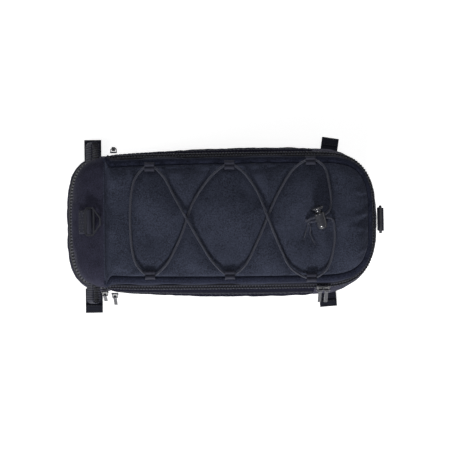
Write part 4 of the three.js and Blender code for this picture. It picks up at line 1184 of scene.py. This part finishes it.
def lid_grid(outline):
    """The lid panel's grid: rows run forward, from the right side's row to the left side's."""
    step = 2.2 * MM
    edge = outline.line(outline.lid_run(), SEAM_Z - 0.3 * MM, out=-0.8 * MM)
    angle = np.arctan2(edge[:, 1], edge[:, 0] - FRONT_TURN)
    front = edge[:, 0] > FRONT_TURN
    right_end = int(np.argmax(front & (angle > -math.pi / 4)))
    left_end = len(edge) - 1 - int(np.argmax((front & (angle < math.pi / 4))[::-1]))
    right, nose, left = edge[: right_end + 1], edge[right_end : left_end + 1], edge[left_end:][::-1]
    columns, rows = (int(along_line(line)[-1] / step) // 2 * 2 + 1 for line in (right, nose))
    right, left = even(right, columns), even(left, columns)
    fold = even(np.array([right[0], left[0]]), rows)
    grid = coons(right, left, fold, even(nose, rows))
    smoothed(grid, rounds=30, share=1.0)
    flat = grid.reshape(-1, 3)
    middle = flat.mean(axis=0)
    heights = []
    for x, y, _ in flat:
        inside = 1 - 0.4 * MM / max(math.hypot(x - middle[0], y - middle[1]), 1 * MM)
        top = LID_SKIN.top(middle[0] + (x - middle[0]) * inside, middle[1] + (y - middle[1]) * inside)
        heights.append(SEAM_Z if top is None else top)
    grid[..., 2] = np.array(heights).reshape(grid.shape[:2])
    smoothed(grid[..., 2], rounds=12, share=1.0)
    return grid


def cord_press(points):
    """How far the cord presses the lid in at each point, and how far off the cord is."""
    depth = 0.9 * MM
    width = 3.4 * MM
    lying_height = 2.9 * MM
    flat = points.reshape(-1, 3)
    lines = np.concatenate([CORD_LINE[::2]] + tail_lines())
    height = lines[:, 2] - np.array([LID_SKIN.top(x, y) or 0 for x, y, _ in lines])
    line = lines[height < lying_height]
    gap = np.array([np.sqrt(((line[:, :2] - point[:2]) ** 2).sum(axis=-1).min()) for point in flat])
    gap = gap.reshape(points.shape[:2])
    return depth * np.exp(-((gap / width) ** 2)), gap


def pinch(points, place, heading, length, width, height):
    """A short crease that starts at a place on the edge and fades out along its heading."""
    x, y = points[..., 0] - place[0] * MM, points[..., 1] - place[1] * MM
    c, s = math.cos(math.radians(heading)), math.sin(math.radians(heading))
    along, across = (x * c + y * s) / (length * MM), (-x * s + y * c) / (width * MM)
    reach = np.exp(-((np.maximum(along, 0) / 0.6) ** 2)) * (along > -0.6)
    spread = across / (0.45 + 0.6 * np.clip(along, 0, 1.5))
    return height * MM * reach * (np.exp(-(spread ** 2)) - 0.6 * np.exp(-((spread - 1.5) ** 2)))


# Creases at the lid's seam: where they start, their heading in degrees, length, width and height in mm.
LID_CREASES = [
    ((148, 26), 176, 15, 3.4, 2.4),
    ((149, 4), 196, 22, 4.4, 3.2),
    ((149, -12), 170, 14, 3.2, 2.4),
    ((146, -34), 205, 12, 3.0, 1.6),
    ((-113, -60), 48, 17, 6.0, -4.2),
    ((-96, -58), 20, 20, 5.4, 2.4),
    ((-16, -60), 60, 16, 4.4, 1.8),
    ((52, 58), 235, 28, 6.4, 1.8),
    ((-30, 58), 250, 20, 5.4, -1.8),
    ((-96, 56), 300, 22, 5.4, 1.8),
]


# Where the padded lid stands up or sinks between its cords: the place, radius and height in mm.
LID_SWELLS = [
    ((19, 7), 24, 4.6),
    ((67, 26), 17, 3.6),
    ((-40, 14), 19, 3.2),
    ((-72, -16), 17, -3.0),
    ((96, 32), 19, 3.0),
    ((130, -20), 24, 3.0),
    ((-88, 30), 20, 2.2),
    ((40, -52), 13, -2.0),
]


def swell(points, place, radius, height):
    """A soft round rise, or a sunk place if its height is less than 0."""
    x, y = points[..., 0] - place[0] * MM, points[..., 1] - place[1] * MM
    return height * MM * np.exp(-(x * x + y * y) / (radius * MM) ** 2)


def far_fold(points, across):
    """A wavering fold in the lid, a little in from its left seam."""
    inset = 5.4 * MM
    width = 1.3 * MM
    depth = 1.8 * MM
    x = points[..., 0]
    wave = smooth_noise(np.stack([x, x * 0, x * 0], axis=-1), 26 * MM, 83) * 3.4 * MM
    off_line = (across.max() - across - inset - wave) / width
    second = np.exp(-((off_line + 2.3) ** 2) - ((x - 14 * MM) / (26 * MM)) ** 2)
    ends = np.clip((FRONT_TURN - 5 * MM - x) / (25 * MM), 0, 1) * np.clip((x - LID_REAR) / (12 * MM), 0, 1)
    return depth * (np.exp(-(off_line ** 2)) + 0.7 * second) * ends


def add_lid_panel(outline):
    """The padded top: it sinks under the cord and stands up between, with creases at its seam."""
    grid = lid_grid(outline)
    upward = np.broadcast_to(np.array([0.0, 0, 1]), grid.shape)
    relax = dict(grow=0.025, inwards=1.2 * MM, outwards=1.0 * MM, pressure=0.2)
    settle = spread_up(settled(grid, normals_of(grid, upward), 51, **relax), *grid.shape[:2])

    def shape(points):
        press, gap = cord_press(points)
        free = np.sin(np.clip((gap - 2 * MM) / (20 * MM), 0, 1) * math.pi / 2) * edge_fade(points, 12 * MM)
        x, y = points[..., 0], points[..., 1]
        drift = smooth_noise(points, 38 * MM, 77) * 2.0 * MM
        slant = np.sin((x * 0.7 + y * 0.7) / (9 * MM) + 2.2 * smooth_noise(points, 45 * MM, 78)) * 0.6 * MM
        creases = sum(pinch(points, *crease) for crease in LID_CREASES)
        swells = sum(swell(points, *one) for one in LID_SWELLS)
        lifts = 1.6 * MM + swells + drift + slant + settle
        rise = free * lifts + creases * edge_fade(points, 1.8 * MM) - press
        rise = rise - far_fold(points, uv_of(points)[..., 1])
        highest = np.interp(gap / MM, [0, 1.2, 3, 10, 24], [-0.1, 0.1, 0.9, 3, 6.5]) * MM
        return np.minimum(rise, highest)

    panel, shaped = soft_panel(
        "lid_top", grid, upward, "lid_fabric", "lid", ["lid_panel", "lid_foam"], puff=0.0, swell=9 * MM,
        seed=51, fold=0.25 * MM, extra=shape, depth=2.8 * MM, tuck=(True, True, False, True))
    return grid, shaped


def add_gusset(outline):
    """The lid's rounded side band, with a piped seam at its upper edge that stands apart from the panel."""
    run = outline.lid_run()
    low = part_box("lid_gusset")[0].z - 0.3 * MM
    grid = outline.sheet(run, heights_between(low, SEAM_Z - 0.5 * MM, 1.2 * MM))
    along = along_line(grid[0])
    kinks = 0.5 * MM * smooth_noise(np.stack([along, along * 0, along * 0], axis=1), 14 * MM, 91)

    def ridge(points):
        up = np.linspace(0, 1, len(points))[:, None]
        roll = np.exp(-(((up - 0.74) / 0.17) ** 2)) * (1.5 * MM + kinks[None, :] * 1.4)
        slack = smooth_noise(points, 26 * MM, 93)
        foot = np.exp(-((up / 0.42) ** 2)) * (1.3 * MM + 2.6 * MM * np.clip(slack, -0.2, 1))
        return roll - foot

    outward = outward_of(grid) + np.array([0, 0, 0.6])
    # The side band is painted in the darker copy of the lid's fabric: painted shade.
    band, _ = soft_panel("lid_side_band", grid, outward, "shaded_lid_fabric", "lid", ["lid_gusset"], puff=0.5 * MM,
                         swell=4 * MM, seed=55, fold=0.3 * MM, extra=ridge, depth=3.6 * MM)


def add_lid_lining(grid):
    """The cloth under the lid, quilted to its foam."""
    share = 0.965
    thickness = 8.2 * MM
    middle = grid.reshape(-1, 3).mean(axis=0)
    inner = grid[1:-1, 1:-1].copy()
    inner[..., :2] = middle[:2] + (inner[..., :2] - middle[:2]) * share
    inner[..., 2] -= thickness - (inner[..., 2] - SEAM_Z) * 0.2
    inner = inner[::2, ::2]
    inner[..., 2] = np.maximum(inner[..., 2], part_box("lid_lining")[0].z - 0.5 * MM)
    downward = np.broadcast_to(np.array([0.0, 0, -1]), inner.shape)
    soft_panel("lid_lining_cloth", inner, downward, "lining", "lid", ["lid_lining"], puff=0.6 * MM,
               swell=10 * MM, seed=59, depth=5 * MM)


# ---- The fixed panel behind the lid ----


def rear_rows():
    """Lines over the rear panel, from its front edge back and down to its rim, at steps across it."""
    skin = Skin("rear_top_panel")
    low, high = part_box("rear_top_panel")
    angles = np.linspace(math.radians(89.6), math.radians(180), 34)
    ways = np.array([(math.cos(a), 0, math.sin(a)) for a in angles])
    rows = []
    for across in np.linspace(-1, 1, 58):
        centre = np.array([high.x, across * (high.y - 0.5 * MM), low.z])
        found = [skin.reach(centre + np.array([0.0, 0, 0.1 * MM]), way, 0.12) for way in ways]
        row = np.array(found, float)
        known = ~np.isnan(row)
        row = np.interp(np.arange(len(row)), np.nonzero(known)[0], row[known])
        rows.append(centre + ways * row[:, None])
    grid = np.array(rows)
    smoothed(grid, rounds=4, share=0.6)
    near_rim = np.clip((low.z + 16 * MM - grid[..., 2]) / (16 * MM), 0, 1) ** 1.5
    back = np.clip((PANEL_FRONT - grid[..., 0]) / (30 * MM), 0, 1)
    grid[..., 0] += RIM_INSET * near_rim * back
    return grid


def add_rear_panel():
    """The fixed padded panel behind the lid, with its rim drawn in over the rear pocket's zip."""
    grid = rear_rows()
    outward = unit(grid - np.array([HINGE[0], 0, 112 * MM]))
    relax = dict(grow=0.02, inwards=1.0 * MM, outwards=1.8 * MM, pressure=0.3)
    panel, shaped = soft_panel(
        "rear_top", grid, outward, "body_fabric", "bag", ["rear_top_panel"], puff=0.8 * MM, swell=9 * MM,
        seed=71, fold=0.25 * MM, relax=relax, depth=3.0 * MM, tuck=(True, True, False, True))
    return shaped


def add_fold_strip(lid_points, rear_points):
    """The strip of cloth over the fixed panel's and the lid's edges, at the lid's fold."""
    edges = [even(points[:, k], 57) for points in (rear_points, lid_points) for k in (0, 1)]
    rear_edge, rear_inner, lid_edge, lid_inner = edges
    lap = np.array([0, 0, 0.15 * MM])
    rows = [rear_inner + lap]
    for t in np.linspace(0, 1, 9):
        row = rear_edge * (1 - t) + lid_edge * t
        row[:, 2] += 0.3 * MM * math.sin(math.pi * t) + 0.2 * MM
        rows.append(row)
    rows.append(lid_inner + lap)
    grid = np.array(rows)
    piece = add_grid("fold_strip", grid, "lid_fabric", uv_of(grid))
    if piece.data.polygons[len(piece.data.polygons) // 2].normal.z < 0:
        piece.data.flip_normals()
    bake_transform(piece)


# ---- Webbing: rings' tabs, grips and straps ----


def flat_band(name, line, across, width, thickness, finish, body, covers=()):
    """A band of webbing along a line of points; across is the direction of its width."""
    line = np.asarray(line, float)
    across = unit(np.broadcast_to(np.asarray(across, float), line.shape))
    normal = unit(np.cross(unit(np.gradient(line, axis=0)), across))
    half, thick = width / 2, thickness / 2
    upper = [(-1, 0), (-0.985, 0.55), (-0.94, 0.95), (-0.8, 1.0), (0, 1.04), (0.8, 1.0), (0.94, 0.95)]
    lower = [(0.985, 0.55), (1, 0), (0.985, -0.55), (0.94, -0.95), (0, -1), (-0.94, -0.95), (-0.985, -0.55)]
    profile = upper + lower
    run = along_line(line)
    points, uvs = [], []
    for i in range(len(line)):
        for x, z in profile:
            points.append(line[i] + across[i] * x * half + normal[i] * z * thick)
            uvs.append((x * half, run[i]))
    rows, columns = len(line), len(profile)
    faces = grid_faces(rows, columns, closed=True) + end_caps(rows, columns, columns)
    belongs(add_mesh(name, points, faces, finish, uvs), body, covers)


def row_stitches(name, ends, normal, body):
    """Straight rows of stitches between pairs of places, as one piece."""
    parts = []
    for pair in ends:
        line = resampled(pair, 1 * MM)
        parts += stitches(line, np.broadcast_to(normal, line.shape))
    belongs(joined_mesh(name, parts, "thread"), body)


def add_strap(name, side):
    """A rack strap: a flat band with its end folded back and stitched across."""
    joint = joint_named(name + "_fold")
    axis = unit(np.array(joint["axis"]))
    out = np.array([-axis[1], axis[0], 0.0])
    out = unit(out * (1 if out[1] * side > 0 else -1))
    root = np.array(joint["pos_m"])
    reach = ((node_points(name) - root) @ out).max()
    width = 20 * MM
    along = np.linspace(-0.6 * MM, reach - 0.4 * MM, 24)
    across = np.array([-out[1], out[0], 0.0])
    line = root + np.outer(along, out)
    line[:, 2] += 0.5 * MM * np.sin(along / (9 * MM)) * np.clip(along / (8 * MM), 0, 1)
    body = name + "_body"
    flat_band(name + "_webbing", line, across, width, 1.7 * MM, "webbing", body, [name])
    hem = line[-9:] + np.array([0, 0, 1.5 * MM])
    hem[0, 2] -= 0.4 * MM
    flat_band(name + "_hem", hem, across, width * 0.985, 1.4 * MM, "webbing", body)
    up = np.array([0.0, 0, 1])
    inner = across * (width / 2 - 2.2 * MM)
    rows = [hem[k] + up * 0.75 * MM for k in (1, -2)]
    row_stitches(name + "_stitching", [(row - inner, row + inner) for row in rows], up, body)


def ring_frame(name):
    """A ring's pivot, the way its nose points, its width's direction and the side that it faces."""
    pivot = np.array(joint_named(name + "_ring_swing")["pos_m"])
    points = node_points(name + "_d_ring")
    nose = points[np.argmax(np.linalg.norm((points - pivot)[:, [0, 2]], axis=1))] - pivot
    nose[1] = 0
    nose = unit(nose)
    across = np.array([0.0, 1, 0])
    up = np.cross(nose, across)
    if np.dot(up, points.mean(axis=0) - pivot) < 0:
        up = -up
    return pivot, nose, across, up


def add_ring_webbing(name):
    """The sewn tab, box-stitched with a cross, and the roll of webbing round the ring's bar."""
    pivot, nose, across, up = ring_frame(name)
    low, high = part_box(name + "_ring_patch")
    width = high.y - low.y
    length, drop = (9.8 * MM, -0.4 * MM) if name == "front" else (7.0 * MM, 1.4 * MM)
    below_pivot = 1.35 * MM
    shares = np.linspace(1, 0, 10)
    line = np.array([pivot - nose * length * t - up * (below_pivot + drop * t ** 1.6) for t in shares])
    patch = name + "_ring_patch"
    flat_band(name + "_ring_tab", line, across, width, 2.4 * MM, "loop_webbing", "bag", [patch])
    surface = line + up * 1.3 * MM
    inner = across * (width / 2 - 1.8 * MM)
    box = [surface[1] - inner, surface[1] + inner, surface[-2] + inner, surface[-2] - inner]
    pairs = [(0, 1), (1, 2), (2, 3), (3, 0), (0, 2), (1, 3)]
    row_stitches(name + "_ring_stitching", [(box[i], box[j]) for i, j in pairs], up, "bag")
    bar = pivot + nose * 6.2 * MM + up * 1.7 * MM
    radius = 2.2 * MM
    turn = np.linspace(-0.62 * math.pi, 1.28 * math.pi, 22)
    under = [(0.2, -1.1), (3, -1.05)]
    back_over = [(2.6, 0.2), (0.3, -0.2)]
    roll = [pivot + nose * a * MM + up * b * MM for a, b in under]
    roll += [bar + (nose * math.cos(a) + up * math.sin(a)) * radius for a in turn]
    roll += [pivot + nose * a * MM + up * b * MM for a, b in back_over]
    flat_band(name + "_ring_roll", resampled(roll, 0.8 * MM), across, width, 1.1 * MM, "loop_webbing",
              name + "_ring", [name + "_ring_webbing"])


def add_grip(side):
    """A loop of ribbed webbing that stands out of the side, for holding as the zip is pulled."""
    node = SIDE_NAMES[side] + "_zip_grip"
    points = node_points(node)
    middle = (points.max(axis=0) + points.min(axis=0)) / 2
    tilt = math.radians(33)
    across = np.array([math.sin(tilt), 0, math.cos(tilt)])
    flat = np.array([math.cos(tilt), 0, -math.sin(tilt)])
    centre = np.array([middle[0], 0, middle[2]])
    half = 4.05 * MM
    root = 60 * MM
    out = np.abs(points[:, 1]).max() - 0.75 * MM - half
    arm = [(half, root), (half, (root + out) / 2), (half * 1.05, out - 2 * MM)]
    line = [(-a, b) for a, b in arm]
    line += [(-half * math.cos(a), out + half * math.sin(a)) for a in np.linspace(0, math.pi, 18)]
    line += arm[::-1]
    path = np.array([centre + flat * a + np.array([0, side * b, 0]) for a, b in line])
    path = resampled(path, 1.2 * MM)
    flat_band(node + "_webbing", path, across, 14 * MM, 1.35 * MM, "grip_webbing", "bag", [node])


# ---- Hard pieces ----


def lathe_part(profile, base, along, across, other):
    """A turned piece from (radius, height) pairs in mm; the profile starts on the axis."""
    segments = 48
    angles = np.linspace(0, 2 * math.pi, segments, endpoint=False)
    points, uvs = [], []
    for radius, height in np.array(profile) * MM:
        for a in angles:
            points.append(base + along * height + (across * math.cos(a) + other * math.sin(a)) * radius)
            uvs.append((a, height))
    return points, grid_faces(len(profile), segments, closed=True), uvs


def lock_prong(way):
    """One of the two prongs under the button, which pass either side of the cord inside the barrel."""
    low, high = 14.9 * MM, 18.4 * MM
    middle = LOCK_BASE + LOCK_ALONG * (low + high) / 2 + LOCK_UP * way * 2.2 * MM
    return block_part(middle, (LOCK_ACROSS, LOCK_ALONG, LOCK_UP), (1.8 * MM, (high - low) / 2, 0.55 * MM))


def add_turned(name, parts, body, node):
    """A turned piece of the lock, with its seams closed and its faces looking out."""
    piece = joined_mesh(name, parts, "lock_plastic")
    turned = bmesh.new()
    turned.from_mesh(piece.data)
    bmesh.ops.remove_doubles(turned, verts=turned.verts, dist=0.001 * MM)
    bmesh.ops.recalc_face_normals(turned, faces=turned.faces)
    turned.to_mesh(piece.data)
    turned.free()
    belongs(piece, body, [node])


def add_lock():
    """The spring cord lock: a moulded barrel, its waisted plunger, rims round its holes and its spring."""
    axes = (LOCK_BASE, LOCK_ALONG, LOCK_ACROSS, LOCK_UP)
    foot = [(0, 0.2), (2.6, 0.05), (4.2, 0), (4.9, 0.35), (5.25, 1.0), (5.3, 1.5), (5.15, 1.7), (5.15, 2.0)]
    wall = [(5.35, 2.2), (5.4, 4), (5.4, 8), (5.4, 14), (5.35, 15.8)]
    mouth = [(5.2, 16.5), (4.8, 16.9), (4.2, 17), (3.9, 16.8), (3.9, 15)]
    waist = [(0, 17.7), (3.4, 17.7), (3.4, 18.6), (3.6, 19.6), (4.3, 20.3), (5.5, 20.9), (6.15, 21.5)]
    cap = [(6.35, 22.1), (6.3, 22.7), (5.9, 23.2), (5.2, 23.4), (3.2, 23.15), (1.4, 23.05), (0, 23.0)]
    add_turned("lock_body", [lathe_part(foot + wall + mouth, *axes)], "lid", "lock_barrel")
    button = [lathe_part(waist + cap, *axes), lock_prong(-1), lock_prong(1)]
    add_turned("lock_button", button, "plunger", "lock_plunger")
    circle = np.linspace(0, 2 * math.pi, 21)
    ring = (np.outer(np.cos(circle), LOCK_ALONG) + np.outer(np.sin(circle), LOCK_UP)) * 1.75 * MM
    rims = []
    for along in CORD_HOLES:
        for way in (-1, 1):
            middle = through_lock(way * 5.05 * MM, along)
            rims.append(tube_part(middle + ring, 0.42 * MM, 6, up=LOCK_ACROSS, ends=False))
    belongs(joined_mesh("lock_hole_rims", rims, "lock_plastic"), "lid")
    paint(nodes["lock_spring"], "steel")


def paint(node, finish):
    node.data.materials.clear()
    node.data.materials.append(FINISHES[finish])


def refined(name, finish, width):
    """A copy of a CAD node with its flat facets merged and its edges rounded."""
    source = nodes[name]
    piece = bpy.data.objects.new(name + "_finished", source.data.copy())
    bpy.context.scene.collection.objects.link(piece)
    work = bmesh.new()
    work.from_mesh(piece.data)
    bmesh.ops.remove_doubles(work, verts=work.verts, dist=0.004 * MM)
    bmesh.ops.dissolve_limit(work, angle_limit=math.radians(4), verts=work.verts, edges=work.edges)
    sharp = [e for e in work.edges if len(e.link_faces) == 2 and e.calc_face_angle(0) > math.radians(32)]
    bmesh.ops.bevel(work, geom=sharp, offset=width, offset_type="OFFSET", segments=2, profile=0.6,
                    affect="EDGES", clamp_overlap=True)
    bmesh.ops.triangulate(work, faces=[f for f in work.faces if len(f.verts) > 4])
    work.to_mesh(piece.data)
    work.free()
    piece.data.polygons.foreach_set("use_smooth", [True] * len(piece.data.polygons))
    paint(piece, finish)
    weighted = piece.modifiers.new("normals", "WEIGHTED_NORMAL")
    weighted.keep_sharp = False
    apply_modifiers(piece)
    belongs(piece, source["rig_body"], [name])


def add_hardware():
    """The two carrying rings, and every zip's slider and pull."""
    for name in ("rear_d_ring", "front_d_ring"):
        refined(name, "ring_plastic", 0.45 * MM)
    for prefix in ("lid_rear", "lid_front", "left_pocket", "right_pocket", "rear_pocket"):
        refined(prefix + "_slider", "black_metal", 0.28 * MM)
        refined(prefix + "_pull", "black_metal", 0.25 * MM)


# ---- The whole bag ----


def main():
    add_camera()
    add_cord(add_knot())
    outline = Outline()
    lid_grid_points, lid_surface = add_lid_panel(outline)
    add_fold_strip(lid_surface, add_rear_panel())
    add_gusset(outline)
    add_lid_lining(lid_grid_points)
    add_walls(outline)
    add_base(outline)
    add_lining(outline)
    add_lid_zip(outline)
    add_pocket_zips(outline)
    for name in LOOP_NAMES:
        add_loop(name)
    for name in ("rear_left", "rear_right", "front_left", "front_right"):
        add_strap(name + "_strap", LEFT if "left" in name else RIGHT)
    for name in ("rear", "front"):
        add_ring_webbing(name)
    for side in SIDE_NAMES:
        add_grip(side)
    add_lock()
    add_hardware()
    add_stage()


main()
